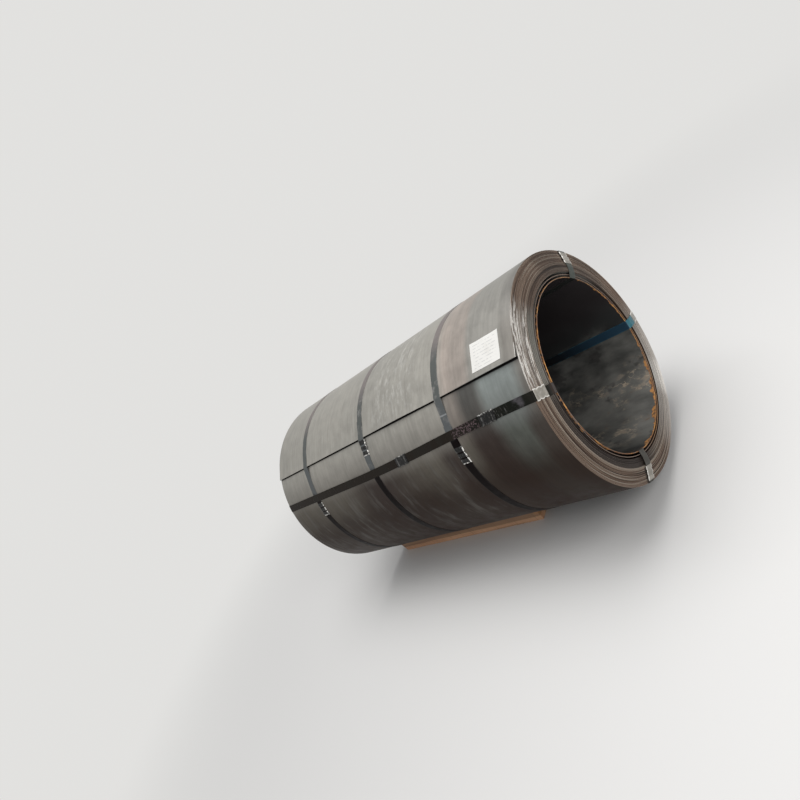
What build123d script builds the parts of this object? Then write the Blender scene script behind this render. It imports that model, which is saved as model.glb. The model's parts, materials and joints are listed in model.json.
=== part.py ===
from build123d import *
from math import acos, atan2, ceil, cos, degrees, hypot, radians, sin, sqrt, tan
import os

# A hot rolled steel coil lying on its side on two timbers, bound by hoop straps and eye straps.
# The coil's axis runs along Y, its labelled end faces -Y, and the timbers stand on Z = 0.
# Angles are taken about the coil's axis, from +X towards +Z.

# The strip and how it is wound
BORE_DIAMETER = 610.0
SHEET_GAUGE = 3.0
TURN_COUNT = 31
STRIP_WIDTH = 1500.0
TAIL_ANGLE = 133.0
TAIL_LIFT = 4.0
LOOSE_TURNS = 2
LOOSE_GAP = 7.5
LOOSE_GAP_DEPTH = 90.0

# How far the turns have slid past each other, in rings of a few turns: the inner ones stand out furthest
TURNS_PER_RING = 5
TELESCOPE = 14.0
RING_STAGGER = 1.0
LOOSE_REACH = 9.0

# Steel strapping and its crimped seals
STRAP_WIDTH = 32.0
STRAP_THICKNESS = 1.0
STRAP_CLEARANCE = 0.05
SEAL_LENGTH = 62.0
SEAL_RIM = 3.0
SEAL_THICKNESS = 1.6
CRIMP_DEPTH = 2.2
CRIMP_COUNT = 2

# Hoop straps, evenly spaced between the first and the last
HOOP_COUNT = 3
HOOP_SETBACK = 345.0
HOOP_REAR_SETBACK = 255.0
HOOP_SEAL_ANGLE = 161.0

# Eye straps, which run along the outside and back through the bore
EYE_STRAP_ANGLES = {"near": 150.5, "top": 44.5, "far": -16.0, "bottom": -124.5}
EYE_SEAL_LENGTH = 48.0
EYE_SEAL_INSET = 6.0
SPLICE_COUNT = 2
SPLICE_SETBACK = 180.0
SPLICE_SPACING = 440.0

# The paper label
LABEL_WIDTH = 117.0
LABEL_HEIGHT = 97.0
LABEL_THICKNESS = 0.5
LABEL_SETBACK = 53.0
LABEL_MARGIN = 18.0

# The timbers
TIMBER_WIDTH = 70.0
TIMBER_HEIGHT = 65.0
TIMBER_LENGTH = 900.0
TIMBER_REAR_SETBACK = 55.0
TIMBER_GAP = 220.0
SEAT_WIDTH = 20.0
HOOP_RELIEF = 0.3

# What follows from the sizes above
BORE_RADIUS = BORE_DIAMETER / 2
LOOSE_PITCH = SHEET_GAUGE + LOOSE_GAP
TIGHT_RADIUS = BORE_RADIUS + LOOSE_TURNS * LOOSE_PITCH
TIGHT_TURNS = TURN_COUNT - LOOSE_TURNS
OUTER_RADIUS = TIGHT_RADIUS + TIGHT_TURNS * SHEET_GAUGE
RING_PITCH = TURNS_PER_RING * SHEET_GAUGE
RING_COUNT = ceil(TIGHT_TURNS / TURNS_PER_RING)
QUARTER_STEP = SHEET_GAUGE / 4
LABELLED_END = -STRIP_WIDTH / 2
SPRING_ANGLE = degrees(acos(OUTER_RADIUS / (OUTER_RADIUS + TAIL_LIFT)))
LIFT_OFF_ANGLE = TAIL_ANGLE - SPRING_ANGLE
TAIL_LENGTH = OUTER_RADIUS * tan(radians(SPRING_ANGLE))
SEAL_WIDTH = STRAP_WIDTH + 2 * SEAL_RIM
SEAL_HEIGHT = STRAP_THICKNESS + SEAL_THICKNESS
CUT_MARGIN = 10.0


def polar(angle):
    """Unit vector at an angle about the coil's axis, in the plane of its section."""
    return Vector(cos(radians(angle)), sin(radians(angle)))


def quarter_arcs(outset=0.0):
    """The wound surface as four quarter arcs, clockwise from the tail, each a quarter gauge tighter."""
    centre, radius = Vector(0, 0), OUTER_RADIUS
    arcs = []
    for quarter in range(4):
        start = TAIL_ANGLE - 90 * quarter
        arcs.append((centre, radius + outset, start))
        centre = centre + polar(start - 90) * QUARTER_STEP
        radius -= QUARTER_STEP
    return arcs


def arc_at(angle):
    """Centre and radius of the quarter arc that covers an angle."""
    centre, radius, _ = quarter_arcs()[int(((TAIL_ANGLE - angle) % 360) // 90)]
    return centre, radius


def surface_radius(angle):
    """Distance from the coil's axis to its wound surface at an angle."""
    centre, radius = arc_at(angle)
    along = centre.dot(polar(angle))
    return along + sqrt(radius**2 - centre.length**2 + along**2)


def on_tail(distance, outset=0.0):
    """A point on the tail, which springs straight off the coil, at a distance from where it lifts off."""
    return polar(LIFT_OFF_ANGLE) * (OUTER_RADIUS + outset) + polar(LIFT_OFF_ANGLE + 90) * distance


def wound_arcs(outset, last_sweep):
    """The wound surface's arcs, clockwise from where the tail lifts off, the last one cut to a sweep."""
    first, second, third, last = quarter_arcs(outset)
    return [
        CenterArc(first[0], first[1], LIFT_OFF_ANGLE, SPRING_ANGLE - 90),
        CenterArc(second[0], second[1], second[2], -90),
        CenterArc(third[0], third[1], third[2], -90),
        CenterArc(last[0], last[1], last[2], -last_sweep),
    ]


def section(outline):
    """A flat face from an outline drawn in the plane of the coil's section."""
    return Plane.XZ * make_face(outline)


def along_axis(face, start, length):
    """A face of the section plane, drawn out along the coil's axis from a start."""
    return Pos(0, start, 0) * extrude(face, amount=length, dir=(0, 1, 0))


def wound_outline():
    """The coil's outline: the wound surface runs on under the tail, which springs straight off it."""
    arcs = wound_arcs(0.0, 90)
    under_tail = CenterArc((0, 0), OUTER_RADIUS - SHEET_GAUGE, TAIL_ANGLE, -SPRING_ANGLE)
    underside = Line(on_tail(0.0, -SHEET_GAUGE), on_tail(TAIL_LENGTH, -SHEET_GAUGE))
    edge = Line(on_tail(TAIL_LENGTH, -SHEET_GAUGE), on_tail(TAIL_LENGTH))
    top = Line(on_tail(TAIL_LENGTH), on_tail(0.0))
    return arcs + [under_tail, underside, edge, top]


def taut_bridge(outset=0.0):
    """A taut band's straight stretch, from the turn below up to the tail's corner, and where it starts."""
    centre, radius, _ = quarter_arcs(outset)[-1]
    corner = on_tail(TAIL_LENGTH, outset)
    reach = corner - centre
    bearing = degrees(atan2(reach.Y, reach.X))
    touch = bearing + degrees(acos(radius / hypot(reach.X, reach.Y)))
    return Line(centre + polar(touch) * radius, corner), touch


def taut_outline(outset):
    """The line of a band pulled tight round the coil, over the tail and down to the turn below."""
    bridge, touch = taut_bridge(outset)
    last_start = quarter_arcs()[-1][2]
    arcs = wound_arcs(outset, (last_start - touch) % 360)
    return arcs + [bridge, Line(on_tail(TAIL_LENGTH, outset), on_tail(0.0, outset))]


def ring_slide(ring):
    """How far a ring has slid in: its corner is on a straight slope, every second one a little behind it."""
    inwards = OUTER_RADIUS - min(TIGHT_RADIUS + (ring + 1) * RING_PITCH, OUTER_RADIUS)
    recessed = (RING_COUNT - 1 - ring) % 2
    return RING_STAGGER * recessed - TELESCOPE * inwards / (TIGHT_TURNS * SHEET_GAUGE - RING_PITCH)


def wall_section(outer):
    """Half section of the wall out to a radius: each ring keeps the strip's width and has slid along."""
    radii = [BORE_RADIUS] + [TIGHT_RADIUS + ring * RING_PITCH for ring in range(RING_COUNT)] + [outer]
    slides = [-LOOSE_REACH] + [ring_slide(ring) for ring in range(RING_COUNT)]
    front, rear = [], []
    for inside, outside, slide in zip(radii, radii[1:], slides):
        front += [(inside, LABELLED_END + slide), (outside, LABELLED_END + slide)]
        rear += [(inside, slide - LABELLED_END), (outside, slide - LABELLED_END)]
    return make_face(Polyline(*front, *reversed(rear), close=True))


def loose_turn_gaps():
    """The narrow gap behind each loose turn, open at both ends."""
    middle = STRIP_WIDTH / 2 - LOOSE_GAP_DEPTH / 2
    ends = []
    for turn in range(LOOSE_TURNS):
        radius = BORE_RADIUS + SHEET_GAUGE + LOOSE_GAP / 2 + turn * LOOSE_PITCH
        for side in (-1, 1):
            gap = Rectangle(LOOSE_GAP, LOOSE_GAP_DEPTH + 2 * TELESCOPE)
            ends.append(revolve(Pos(radius, side * (middle + TELESCOPE)) * gap, Axis.Y))
    return ends


def make_coil():
    """One turned solid: the wound outline, cut to the slid rings at both ends."""
    start = LABELLED_END - TELESCOPE - CUT_MARGIN
    wound = along_axis(section(wound_outline()), start, -2 * start)
    coil = wound & revolve(wall_section(OUTER_RADIUS + TAIL_LIFT + CUT_MARGIN), Axis.Y)
    for gap in loose_turn_gaps():
        coil -= gap
    return coil


def hoop_place(hoop):
    """Where a hoop's middle lies along the axis."""
    spacing = (STRIP_WIDTH - HOOP_SETBACK - HOOP_REAR_SETBACK) / (HOOP_COUNT - 1)
    return LABELLED_END + HOOP_SETBACK + hoop * spacing


def make_hoop(hoop, slack=0.0):
    """One hoop strap, pulled tight round the coil."""
    outer = section(taut_outline(STRAP_THICKNESS + slack))
    inner = section(taut_outline(0.0))
    width = STRAP_WIDTH + 2 * slack
    return along_axis(outer - inner, hoop_place(hoop) - width / 2, width)


def crimped(block, along, across, middle, length=SEAL_LENGTH):
    """A seal's block with the notches of the crimping jaws along both its edges."""
    spacing = length / (CRIMP_COUNT + 1)
    for side in (-1, 1):
        for notch in range(CRIMP_COUNT):
            shift = (notch + 0.5 - CRIMP_COUNT / 2) * spacing
            place = middle + along * shift + across * (side * SEAL_WIDTH / 2)
            block -= Pos(*place) * notch_tool(along, across)
    return block


def notch_tool(along, across):
    """A square bar on edge, which leaves a V as deep as the crimp."""
    depth = along.cross(across)
    side = CRIMP_DEPTH * sqrt(2)
    plane = Plane(origin=(0, 0, 0), x_dir=along + across, z_dir=depth)
    return plane * Box(side, side, 4 * SEAL_HEIGHT + CUT_MARGIN)


def flat_seal(length):
    """A flat seal lying on the XY plane, with its length along X."""
    block = Pos(0, 0, SEAL_HEIGHT / 2) * Box(length, SEAL_WIDTH, SEAL_HEIGHT)
    return crimped(block, Vector(1, 0, 0), Vector(0, 1, 0), Vector(0, 0, 0), length)


def make_hoop_seal(strap, hoop):
    """The seal of a hoop strap, bent to the arc it lies on."""
    centre, radius = arc_at(HOOP_SEAL_ANGLE)
    half_angle = degrees(SEAL_LENGTH / 2 / radius)
    band = Pos(radius + SEAL_HEIGHT / 2, hoop_place(hoop)) * Rectangle(SEAL_HEIGHT, SEAL_WIDTH)
    block = Rot(0, half_angle, 0) * revolve(band, Axis.Y, revolution_arc=-2 * half_angle)
    block = crimped(block, Vector(0, 0, 1), Vector(0, 1, 0), Vector(radius, hoop_place(hoop), 0))
    return Pos(centre.X, 0, centre.Y) * Rot(0, -HOOP_SEAL_ANGLE, 0) * block - strap


def make_bridge_seal(strap, hoop):
    """The seal of a hoop strap that is crimped where the strap bridges the step below the tail."""
    bridge, _ = taut_bridge()
    middle, along = bridge @ 0.5, bridge % 0.5
    outwards = Vector(along.Y, 0, -along.X)
    seat = Plane(
        origin=(middle.X, hoop_place(hoop), middle.Y),
        x_dir=(along.X, 0, along.Y),
        z_dir=outwards if outwards.dot(Vector(middle.X, 0, middle.Y)) > 0 else -outwards,
    )
    return seat * flat_seal(SEAL_LENGTH) - strap


def eye_loop(angle, grow):
    """The line of an eye strap: a tight loop round the wall's section and the hoops, grown by an amount."""
    surface = surface_radius(angle)
    bars = [Pos(surface + STRAP_THICKNESS / 2, hoop_place(hoop)) * Rectangle(STRAP_THICKNESS, STRAP_WIDTH)
            for hoop in range(HOOP_COUNT)]
    edges = wall_section(surface).edges()
    for bar in bars:
        edges += bar.edges()
    return offset(make_hull(edges), amount=grow, kind=Kind.INTERSECTION)


def make_eye_strap(angle):
    """One eye strap: its line turned a few degrees about the axis, then trimmed to the strap's width."""
    ring = eye_loop(angle, STRAP_CLEARANCE + STRAP_THICKNESS) - eye_loop(angle, STRAP_CLEARANCE)
    half_angle = 2 * degrees(STRAP_WIDTH / 2 / BORE_RADIUS)
    sector = Rot(0, half_angle, 0) * revolve(ring, Axis.Y, revolution_arc=-2 * half_angle)
    slab = Box(3 * OUTER_RADIUS, 2 * STRIP_WIDTH, STRAP_WIDTH)
    return Rot(0, -angle, 0) * (sector & slab)


def make_eye_seal(strap, angle):
    """The seal of an eye strap, on the stretch of the strap's line at the labelled end nearest its middle."""
    middle = surface_radius(angle) - EYE_SEAL_INSET - EYE_SEAL_LENGTH / 2
    front = [edge for edge in eye_loop(angle, STRAP_CLEARANCE).edges() if edge.center().Y < LABELLED_END]
    stretch = min(front, key=lambda edge: abs(edge.center().X - middle))
    inner, outer = sorted((stretch @ 0, stretch @ 1), key=lambda end: end.X)
    way = (inner - outer).normalized()
    place = outer + way * ((middle - outer.X) / way.X)
    seat = Plane(origin=(place.X, place.Y, 0), x_dir=(way.X, way.Y, 0), z_dir=(-way.Y, way.X, 0))
    return Rot(0, -angle, 0) * (seat * flat_seal(EYE_SEAL_LENGTH)) - strap


def make_splice(strap, angle, setback):
    """The crimped sleeve that joins two lengths of an eye strap, on the outside of the coil."""
    outside = surface_radius(angle) + STRAP_CLEARANCE
    height = SEAL_HEIGHT + STRAP_THICKNESS
    place = Vector(outside, LABELLED_END + setback, 0)
    band = Pos(outside + height / 2, place.Y) * Rectangle(height, SEAL_LENGTH)
    half_angle = degrees(SEAL_WIDTH / outside)
    block = Rot(0, half_angle, 0) * revolve(band, Axis.Y, revolution_arc=-2 * half_angle)
    block &= Box(3 * OUTER_RADIUS, 2 * STRIP_WIDTH, SEAL_WIDTH)
    block = crimped(block, Vector(0, 1, 0), Vector(0, 0, 1), place)
    return Rot(0, -angle, 0) * block - strap


def make_label():
    """The paper label, part on the wound surface and part on the straight tail."""
    flat = TAIL_LENGTH - LABEL_MARGIN
    bent = degrees((LABEL_HEIGHT - flat) / OUTER_RADIUS)
    under = CenterArc((0, 0), OUTER_RADIUS, LIFT_OFF_ANGLE - bent, bent)
    over = CenterArc((0, 0), OUTER_RADIUS + LABEL_THICKNESS, LIFT_OFF_ANGLE, -bent)
    end = Line(on_tail(flat), on_tail(flat, LABEL_THICKNESS))
    outline = [
        under,
        Line(on_tail(0.0), on_tail(flat)),
        end,
        Line(on_tail(flat, LABEL_THICKNESS), on_tail(0.0, LABEL_THICKNESS)),
        over,
        Line(over @ 1, under @ 0),
    ]
    return along_axis(section(outline), LABELLED_END + LABEL_SETBACK, LABEL_WIDTH)


# The seat on each timber is a bevel that touches the lower quarter arc at the bevel's middle
SEAT_REACH = TIMBER_GAP / 2 + SEAT_WIDTH / 2
LOW_CENTRE, LOW_RADIUS = arc_at(-90)
SEAT_SLOPE = SEAT_REACH / sqrt(LOW_RADIUS**2 - SEAT_REACH**2)
SEAT_DROP = SEAT_WIDTH * SEAT_SLOPE
AXIS_HEIGHT = TIMBER_HEIGHT - SEAT_DROP / 2 + sqrt(LOW_RADIUS**2 - SEAT_REACH**2) - LOW_CENTRE.Y


def make_timber(side, hoops):
    """One timber on the floor, bevelled to seat the coil and pressed in where the hoops cross it."""
    inner = TIMBER_GAP / 2
    corners = (
        (inner, 0),
        (inner, TIMBER_HEIGHT - SEAT_DROP),
        (inner + SEAT_WIDTH, TIMBER_HEIGHT),
        (inner + TIMBER_WIDTH, TIMBER_HEIGHT),
        (inner + TIMBER_WIDTH, 0),
    )
    outline = Polyline(*[(LOW_CENTRE.X + side * x, z) for x, z in corners], close=True)
    start = -LABELLED_END - TIMBER_REAR_SETBACK - TIMBER_LENGTH
    timber = along_axis(section(outline), start, TIMBER_LENGTH)
    for hoop in hoops:
        timber -= Pos(0, 0, AXIS_HEIGHT) * hoop
    return timber


def save(name, solid):
    """Write one piece to its own file."""
    solid.label = name
    export_step(solid, f"parts/{name}.step")


def main():
    """Make every piece about the coil's axis, then lift what the timbers carry to its height."""
    os.makedirs("parts", exist_ok=True)
    carried = {"coil": make_coil(), "label": make_label()}
    for hoop in range(HOOP_COUNT):
        strap = make_hoop(hoop)
        seal = make_bridge_seal if hoop % 2 else make_hoop_seal
        carried[f"hoop_strap_{hoop + 1}"] = strap
        carried[f"hoop_seal_{hoop + 1}"] = seal(strap, hoop)
    for place, angle in EYE_STRAP_ANGLES.items():
        strap = make_eye_strap(angle)
        carried[f"eye_strap_{place}"] = strap
        carried[f"eye_seal_{place}"] = make_eye_seal(strap, angle)
    for splice in range(SPLICE_COUNT):
        setback = SPLICE_SETBACK + splice * SPLICE_SPACING
        near = make_splice(carried["eye_strap_near"], EYE_STRAP_ANGLES["near"], setback)
        carried[f"strap_splice_{splice + 1}"] = near
    for name, solid in carried.items():
        save(name, Pos(0, 0, AXIS_HEIGHT) * solid)
    loose_hoops = [make_hoop(hoop, HOOP_RELIEF) for hoop in range(HOOP_COUNT)]
    for name, side in (("timber_near", -1), ("timber_far", 1)):
        save(name, make_timber(side, loose_hoops))
    print("axis height", round(AXIS_HEIGHT, 3), "outer radius", OUTER_RADIUS)


main()
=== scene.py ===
"""A hot rolled steel coil on two timbers, bound with steel straps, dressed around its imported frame.

Lengths are in metres. Angles are in degrees about the coil's axis, from +X towards +Z. The axis runs
along Y, and the labelled end of the coil faces -Y.
"""

import json
import logging
import math
from dataclasses import dataclass, field
from enum import Enum
from functools import cached_property
from typing import Any, Union

import bpy
import numpy as np
from mathutils import Matrix, Vector


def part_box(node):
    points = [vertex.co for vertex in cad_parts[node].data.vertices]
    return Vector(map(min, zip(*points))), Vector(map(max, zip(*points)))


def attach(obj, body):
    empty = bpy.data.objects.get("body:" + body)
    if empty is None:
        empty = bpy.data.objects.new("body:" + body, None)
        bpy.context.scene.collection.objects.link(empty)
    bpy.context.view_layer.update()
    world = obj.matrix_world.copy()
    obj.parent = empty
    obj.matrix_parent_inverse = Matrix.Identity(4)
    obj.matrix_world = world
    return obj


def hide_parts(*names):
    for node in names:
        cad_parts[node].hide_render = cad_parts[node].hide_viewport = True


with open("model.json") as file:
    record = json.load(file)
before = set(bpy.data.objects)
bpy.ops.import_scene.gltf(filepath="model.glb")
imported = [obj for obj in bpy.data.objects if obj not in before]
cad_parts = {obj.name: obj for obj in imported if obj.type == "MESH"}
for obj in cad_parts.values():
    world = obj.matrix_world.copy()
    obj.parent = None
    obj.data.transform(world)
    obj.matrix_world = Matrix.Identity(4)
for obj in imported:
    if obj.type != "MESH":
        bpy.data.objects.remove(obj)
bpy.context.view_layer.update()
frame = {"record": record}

Array = np.ndarray
Colour = tuple[float, float, float]
Place = tuple[float, float, float]
Bell = tuple[float, float, float]
Value = Union[float, "Signal"]
Shade = Union[Colour, "Signal"]

LABELLED_END = -0.75
REAR_END = 0.75
STRIP_WIDTH = REAR_END - LABELLED_END
HOOP_SETBACKS = (0.345, 0.795, 1.245)
AXIS_HEIGHT = next(m["pos_m"][2] for m in frame["record"]["mounts"] if m["name"] == "eye")
ALONG_AXIS = np.array([0.0, 1.0, 0.0])
log = logging.getLogger("steel_coil")


class Slot(Enum):
    """The record's material slots."""

    COIL = "coil_steel"
    STRAP = "strap_steel"
    SEAL = "seal_zinc"
    LABEL = "label_paper"
    TIMBER = "timber_wood"


def cosine(angle: Array) -> Array:
    """Cosine of an angle in degrees."""
    return np.cos(np.radians(angle))


def sine(angle: Array) -> Array:
    """Sine of an angle in degrees."""
    return np.sin(np.radians(angle))


def ease(value: Array, low: float, high: float) -> Array:
    """Smooth step: 0 below low, 1 above high, and the cubic 3x^2 - 2x^3 between."""
    share = np.clip((value - low) / (high - low), 0.0, 1.0)
    return share * share * (3.0 - 2.0 * share)


def bump_at(value: Array, centre: float, spread: float) -> Array:
    """A bell of height 1: e to the power of minus the squared distance from the centre over the spread."""
    return np.exp(-(((value - centre) / spread) ** 2))


def unit(vectors: Array) -> Array:
    """Vectors brought to length 1."""
    return vectors / np.linalg.norm(vectors, axis=-1, keepdims=True)


def outward(angle: Array) -> Array:
    """Unit vectors that point away from the coil's axis at an angle."""
    return np.stack([cosine(angle), np.zeros(np.shape(angle)), sine(angle)], axis=-1)


def around_axis(radius: Array, angle: Array, along: Array) -> Array:
    """Points at a radius and an angle about the coil's axis.

    Args:
        radius: distances from the axis.
        angle: angles about the axis.
        along: places along the axis.

    Returns:
        An array of the common shape with x, y and z as its last part.
    """
    x, y, z = np.broadcast_arrays(radius * cosine(angle), along, AXIS_HEIGHT + radius * sine(angle))
    return np.stack([x, y, z], axis=-1)


@dataclass(frozen=True)
class Surface:
    """A mesh's points and faces as arrays, with what each face and point carries."""

    points: Array
    faces: Array
    looks: Array
    values: dict[str, Array] = field(default_factory=dict)

    def joined(self, other: "Surface") -> "Surface":
        """Both surfaces as one, the other's faces counted on from this one's points."""
        return Surface(
            np.concatenate([self.points, other.points]),
            np.concatenate([self.faces, other.faces + len(self.points)]),
            np.concatenate([self.looks, other.looks]),
            {name: np.concatenate([held, other.values[name]]) for name, held in self.values.items()},
        )

    def facing_out(self) -> "Surface":
        """The surface with its faces turned outwards.

        The sum over the faces of the face's area vector times its middle grows with the volume, and is
        negative for a surface that is inside out.

        Returns:
            This surface, or its reverse.
        """
        corners = self.points[self.faces]
        diagonals = corners[:, 2] - corners[:, 0], corners[:, 3] - corners[:, 1]
        total = np.einsum("ij,ij->", np.cross(*diagonals), corners.mean(axis=1))
        return self if total > 0 else Surface(self.points, self.faces[:, ::-1], self.looks, self.values)


def loft(sections: Array, looks: Array | None = None, end_look: int = 0, **values: Array) -> Surface:
    """A profile carried along a path: quads between each section and the next.

    The profile is a closed ring whose second half runs back beside its first, so that the path ends in
    a ladder of quads between the two halves.

    Args:
        sections: stations along the path, points round the profile, and x, y and z.
        looks: the material of each quad, one for each point of the profile or for each quad.
        end_look: the material of the two ladders.
        values: numbers carried by the points, stations by profile.

    Returns:
        The closed surface, facing outwards.
    """
    stations, ring = sections.shape[:2]
    index = np.arange(stations * ring).reshape(stations, ring)
    here, ahead = index[:-1], index[1:]
    walls = np.stack([here, ahead, np.roll(ahead, -1, axis=1), np.roll(here, -1, axis=1)], axis=-1)
    kinds = np.zeros(ring, int) if looks is None else looks
    kinds = np.broadcast_to(kinds, walls.shape[:2]).reshape(-1)
    step = np.arange(ring // 2 - 1)
    rungs = np.stack([step, step + 1, ring - 2 - step, ring - 1 - step], axis=-1)
    faces = np.concatenate([walls.reshape(-1, 4), rungs, rungs[:, ::-1] + index[-1, 0]])
    kinds = np.concatenate([kinds, np.full(2 * len(rungs), end_look)])
    carried = {name: np.broadcast_to(value, (stations, ring)).reshape(-1) for name, value in values.items()}
    return Surface(sections.reshape(-1, 3), faces, kinds, carried).facing_out()


def make_piece(name: str, surface: Surface, paints: list[bpy.types.Material],
               stands_for: tuple[str, ...], crease: float = 35.0) -> None:
    """Put a surface into the scene as a finished piece that rides on the part.

    Args:
        name: the piece's name.
        surface: its mesh.
        paints: its materials, in the order of the surface's looks.
        stands_for: the nodes of the frame that it replaces.
        crease: edges sharper than this angle are drawn sharp.
    """
    mesh = bpy.data.meshes.new(name)
    mesh.from_pydata(surface.points.tolist(), [], surface.faces.tolist())
    for paint in paints:
        mesh.materials.append(paint)
    mesh.polygons.foreach_set("material_index", surface.looks.astype(np.int32))
    for key, numbers in surface.values.items():
        mesh.attributes.new(key, "FLOAT", "POINT").data.foreach_set("value", numbers.astype(np.float32))
    mesh.shade_smooth()
    mesh.set_sharp_from_angle(angle=math.radians(crease))
    mesh.validate()
    piece = bpy.data.objects.new(name, mesh)
    bpy.context.scene.collection.objects.link(piece)
    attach(piece, "root")
    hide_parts(*stands_for)
    log.info("%s: %d faces, stands for %s", name, len(mesh.polygons), ", ".join(stands_for))


class Signal:
    """A number, vector or colour that a node puts out. Sums with it add nodes to its graph."""

    def __init__(self, graph: "Graph", socket: bpy.types.NodeSocket) -> None:
        """Hold one output of a node."""
        self.graph = graph
        self.socket = socket

    def __add__(self, other: Value) -> "Signal":
        """The sum."""
        return self.graph.math("ADD", self, other)

    def __sub__(self, other: Value) -> "Signal":
        """The difference."""
        return self.graph.math("SUBTRACT", self, other)

    def __mul__(self, other: Value) -> "Signal":
        """The product."""
        return self.graph.math("MULTIPLY", self, other)

    def __truediv__(self, other: Value) -> "Signal":
        """The quotient."""
        return self.graph.math("DIVIDE", self, other)

    def __abs__(self) -> "Signal":
        """The size without its sign."""
        return self.graph.math("ABSOLUTE", self)

    def step(self, low: float, high: float, start: float = 0.0, end: float = 1.0) -> "Signal":
        """A smooth step from start to end as the number goes from low to high."""
        levels = {0: self, 1: low, 2: high, 3: start, 4: end}
        return self.graph.signal("MapRange", levels, interpolation_type="SMOOTHSTEP")

    def covered(self, share: Value, colour: Shade) -> "Signal":
        """This colour with a share of another laid over it."""
        return self.graph.blend(share, self, colour)


class Graph:
    """The node tree of a material or a world, with a point's place about the coil's axis in it."""

    def __init__(self, name: str, kind: str = "materials") -> None:
        """Start with an empty tree.

        Args:
            name: the material's name.
            kind: the collection it goes into, materials or worlds.
        """
        self.block = getattr(bpy.data, kind).new(name)
        self.block.use_nodes = True
        self.tree = self.block.node_tree
        self.tree.nodes.clear()

    def add(self, kind: str, values: dict[Any, Any], **settings: Any) -> bpy.types.Node:
        """Add a node.

        Args:
            kind: the node's type, without its common prefix.
            values: what each input holds or is linked to, by its name or number.
            settings: the node's own options.

        Returns:
            The node.
        """
        node = self.tree.nodes.new(f"ShaderNode{kind}")
        for option, choice in settings.items():
            setattr(node, option, choice)
        for key, value in values.items():
            if isinstance(value, Signal):
                self.tree.links.new(value.socket, node.inputs[key])
            else:
                node.inputs[key].default_value = value
        return node

    def signal(self, kind: str, values: dict[Any, Any], output: int | str = 0, **settings: Any) -> Signal:
        """Add a node and take one of its outputs."""
        return Signal(self, self.add(kind, values, **settings).outputs[output])

    def math(self, operation: str, first: Value, second: Value = 0.0) -> Signal:
        """One sum of one or two numbers."""
        return self.signal("Math", {0: first, 1: second}, operation=operation)

    def join(self, x: Value, y: Value, z: Value) -> Signal:
        """A vector from three numbers."""
        return self.signal("CombineXYZ", {0: x, 1: y, 2: z})

    def held(self, name: str) -> Signal:
        """A number that the mesh carries."""
        return self.signal("Attribute", {}, "Fac", attribute_name=name)

    @cached_property
    def place(self) -> Signal:
        """The object's own coordinates."""
        return self.signal("TexCoord", {}, "Object")

    @cached_property
    def from_axis(self) -> list[Signal]:
        """The object's own coordinates counted from the coil's axis: across it, along it and up."""
        lowered = self.signal("Mapping", {"Vector": self.place, "Location": (0.0, 0.0, -AXIS_HEIGHT)})
        return [Signal(self, socket) for socket in self.add("SeparateXYZ", {0: lowered}).outputs]

    @cached_property
    def radius(self) -> Signal:
        """Distance from the coil's axis."""
        flat = self.join(self.from_axis[0], 0.0, self.from_axis[2])
        return self.signal("VectorMath", {0: flat}, "Value", operation="LENGTH")

    @cached_property
    def across(self) -> Signal:
        """The direction from the axis, as its part across: the cosine of the angle."""
        return self.from_axis[0] / self.radius

    @cached_property
    def up(self) -> Signal:
        """The direction from the axis, as its part upwards: the sine of the angle."""
        return self.from_axis[2] / self.radius

    @property
    def along(self) -> Signal:
        """The place along the axis."""
        return self.from_axis[1]

    def noise(self, vector: Signal, scale: float, detail: float, roughness: float,
              extra: Value | None = None) -> Signal:
        """Cloudy noise.

        Args:
            vector: where it is read.
            scale: how many cells go into one unit of the vector.
            detail: how many finer noises are laid over it.
            roughness: how strong they are.
            extra: a fourth coordinate, if there is one.

        Returns:
            The noise, from 0 to 1.
        """
        levels = {"Vector": vector, "Scale": scale, "Detail": detail, "Roughness": roughness}
        if extra is None:
            return self.signal("TexNoise", levels)
        return self.signal("TexNoise", {**levels, "W": extra}, noise_dimensions="4D")

    def grain(self, scale: float, detail: float, roughness: float = 0.5) -> Signal:
        """Noise that is alike in every direction, so many cells a metre."""
        return self.noise(self.place, scale, detail, roughness)

    def drawn(self, around: float, along: float, detail: float, roughness: float = 0.5,
              extra: Value | None = None) -> Signal:
        """Noise that is drawn out round the coil or along it.

        Args:
            around: how many cells go round the coil.
            along: how many cells go into a metre along it.
            detail: how many finer noises are laid over it.
            roughness: how strong they are.
            extra: a number that shifts to another noise as it changes.

        Returns:
            The noise.
        """
        share = around / math.pi
        vector = self.join(self.across * share, self.up * share, self.along * along)
        return self.noise(vector, 1.0, detail, roughness, extra)

    def stretched(self, cells: tuple[float, float, float], detail: float, roughness: float = 0.5) -> Signal:
        """Noise with its own number of cells a metre along each axis."""
        drawn_out = self.signal("Mapping", {"Vector": self.place, "Scale": cells})
        return self.noise(drawn_out, 1.0, detail, roughness)

    def near_angle(self, angle: float, full: float, none: float) -> Signal:
        """A share that is 1 near a direction from the axis and 0 well away from it.

        The cosine of the angle between the point's own direction and the given one is their dot product.

        Args:
            angle: the direction.
            full: how far from it the share is still 1.
            none: how far from it the share is down to 0.

        Returns:
            The share.
        """
        turned = math.radians(angle)
        lean = self.across * math.cos(turned) + self.up * math.sin(turned)
        return lean.step(math.cos(math.radians(none)), math.cos(math.radians(full)))

    def near_setback(self, setback: float, full: float, none: float) -> Signal:
        """A share that is 1 near a setback from the labelled end and 0 well away from it."""
        return abs(self.along - (LABELLED_END + setback)).step(none, full)

    def blend(self, share: Value, low: Shade, high: Shade, mode: str = "MIX") -> Signal:
        """Two colours mixed by a share."""
        colours = {0: share, 6: self.full(low), 7: self.full(high)}
        return self.signal("Mix", colours, 2, data_type="RGBA", blend_type=mode, clamp_factor=True)

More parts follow.
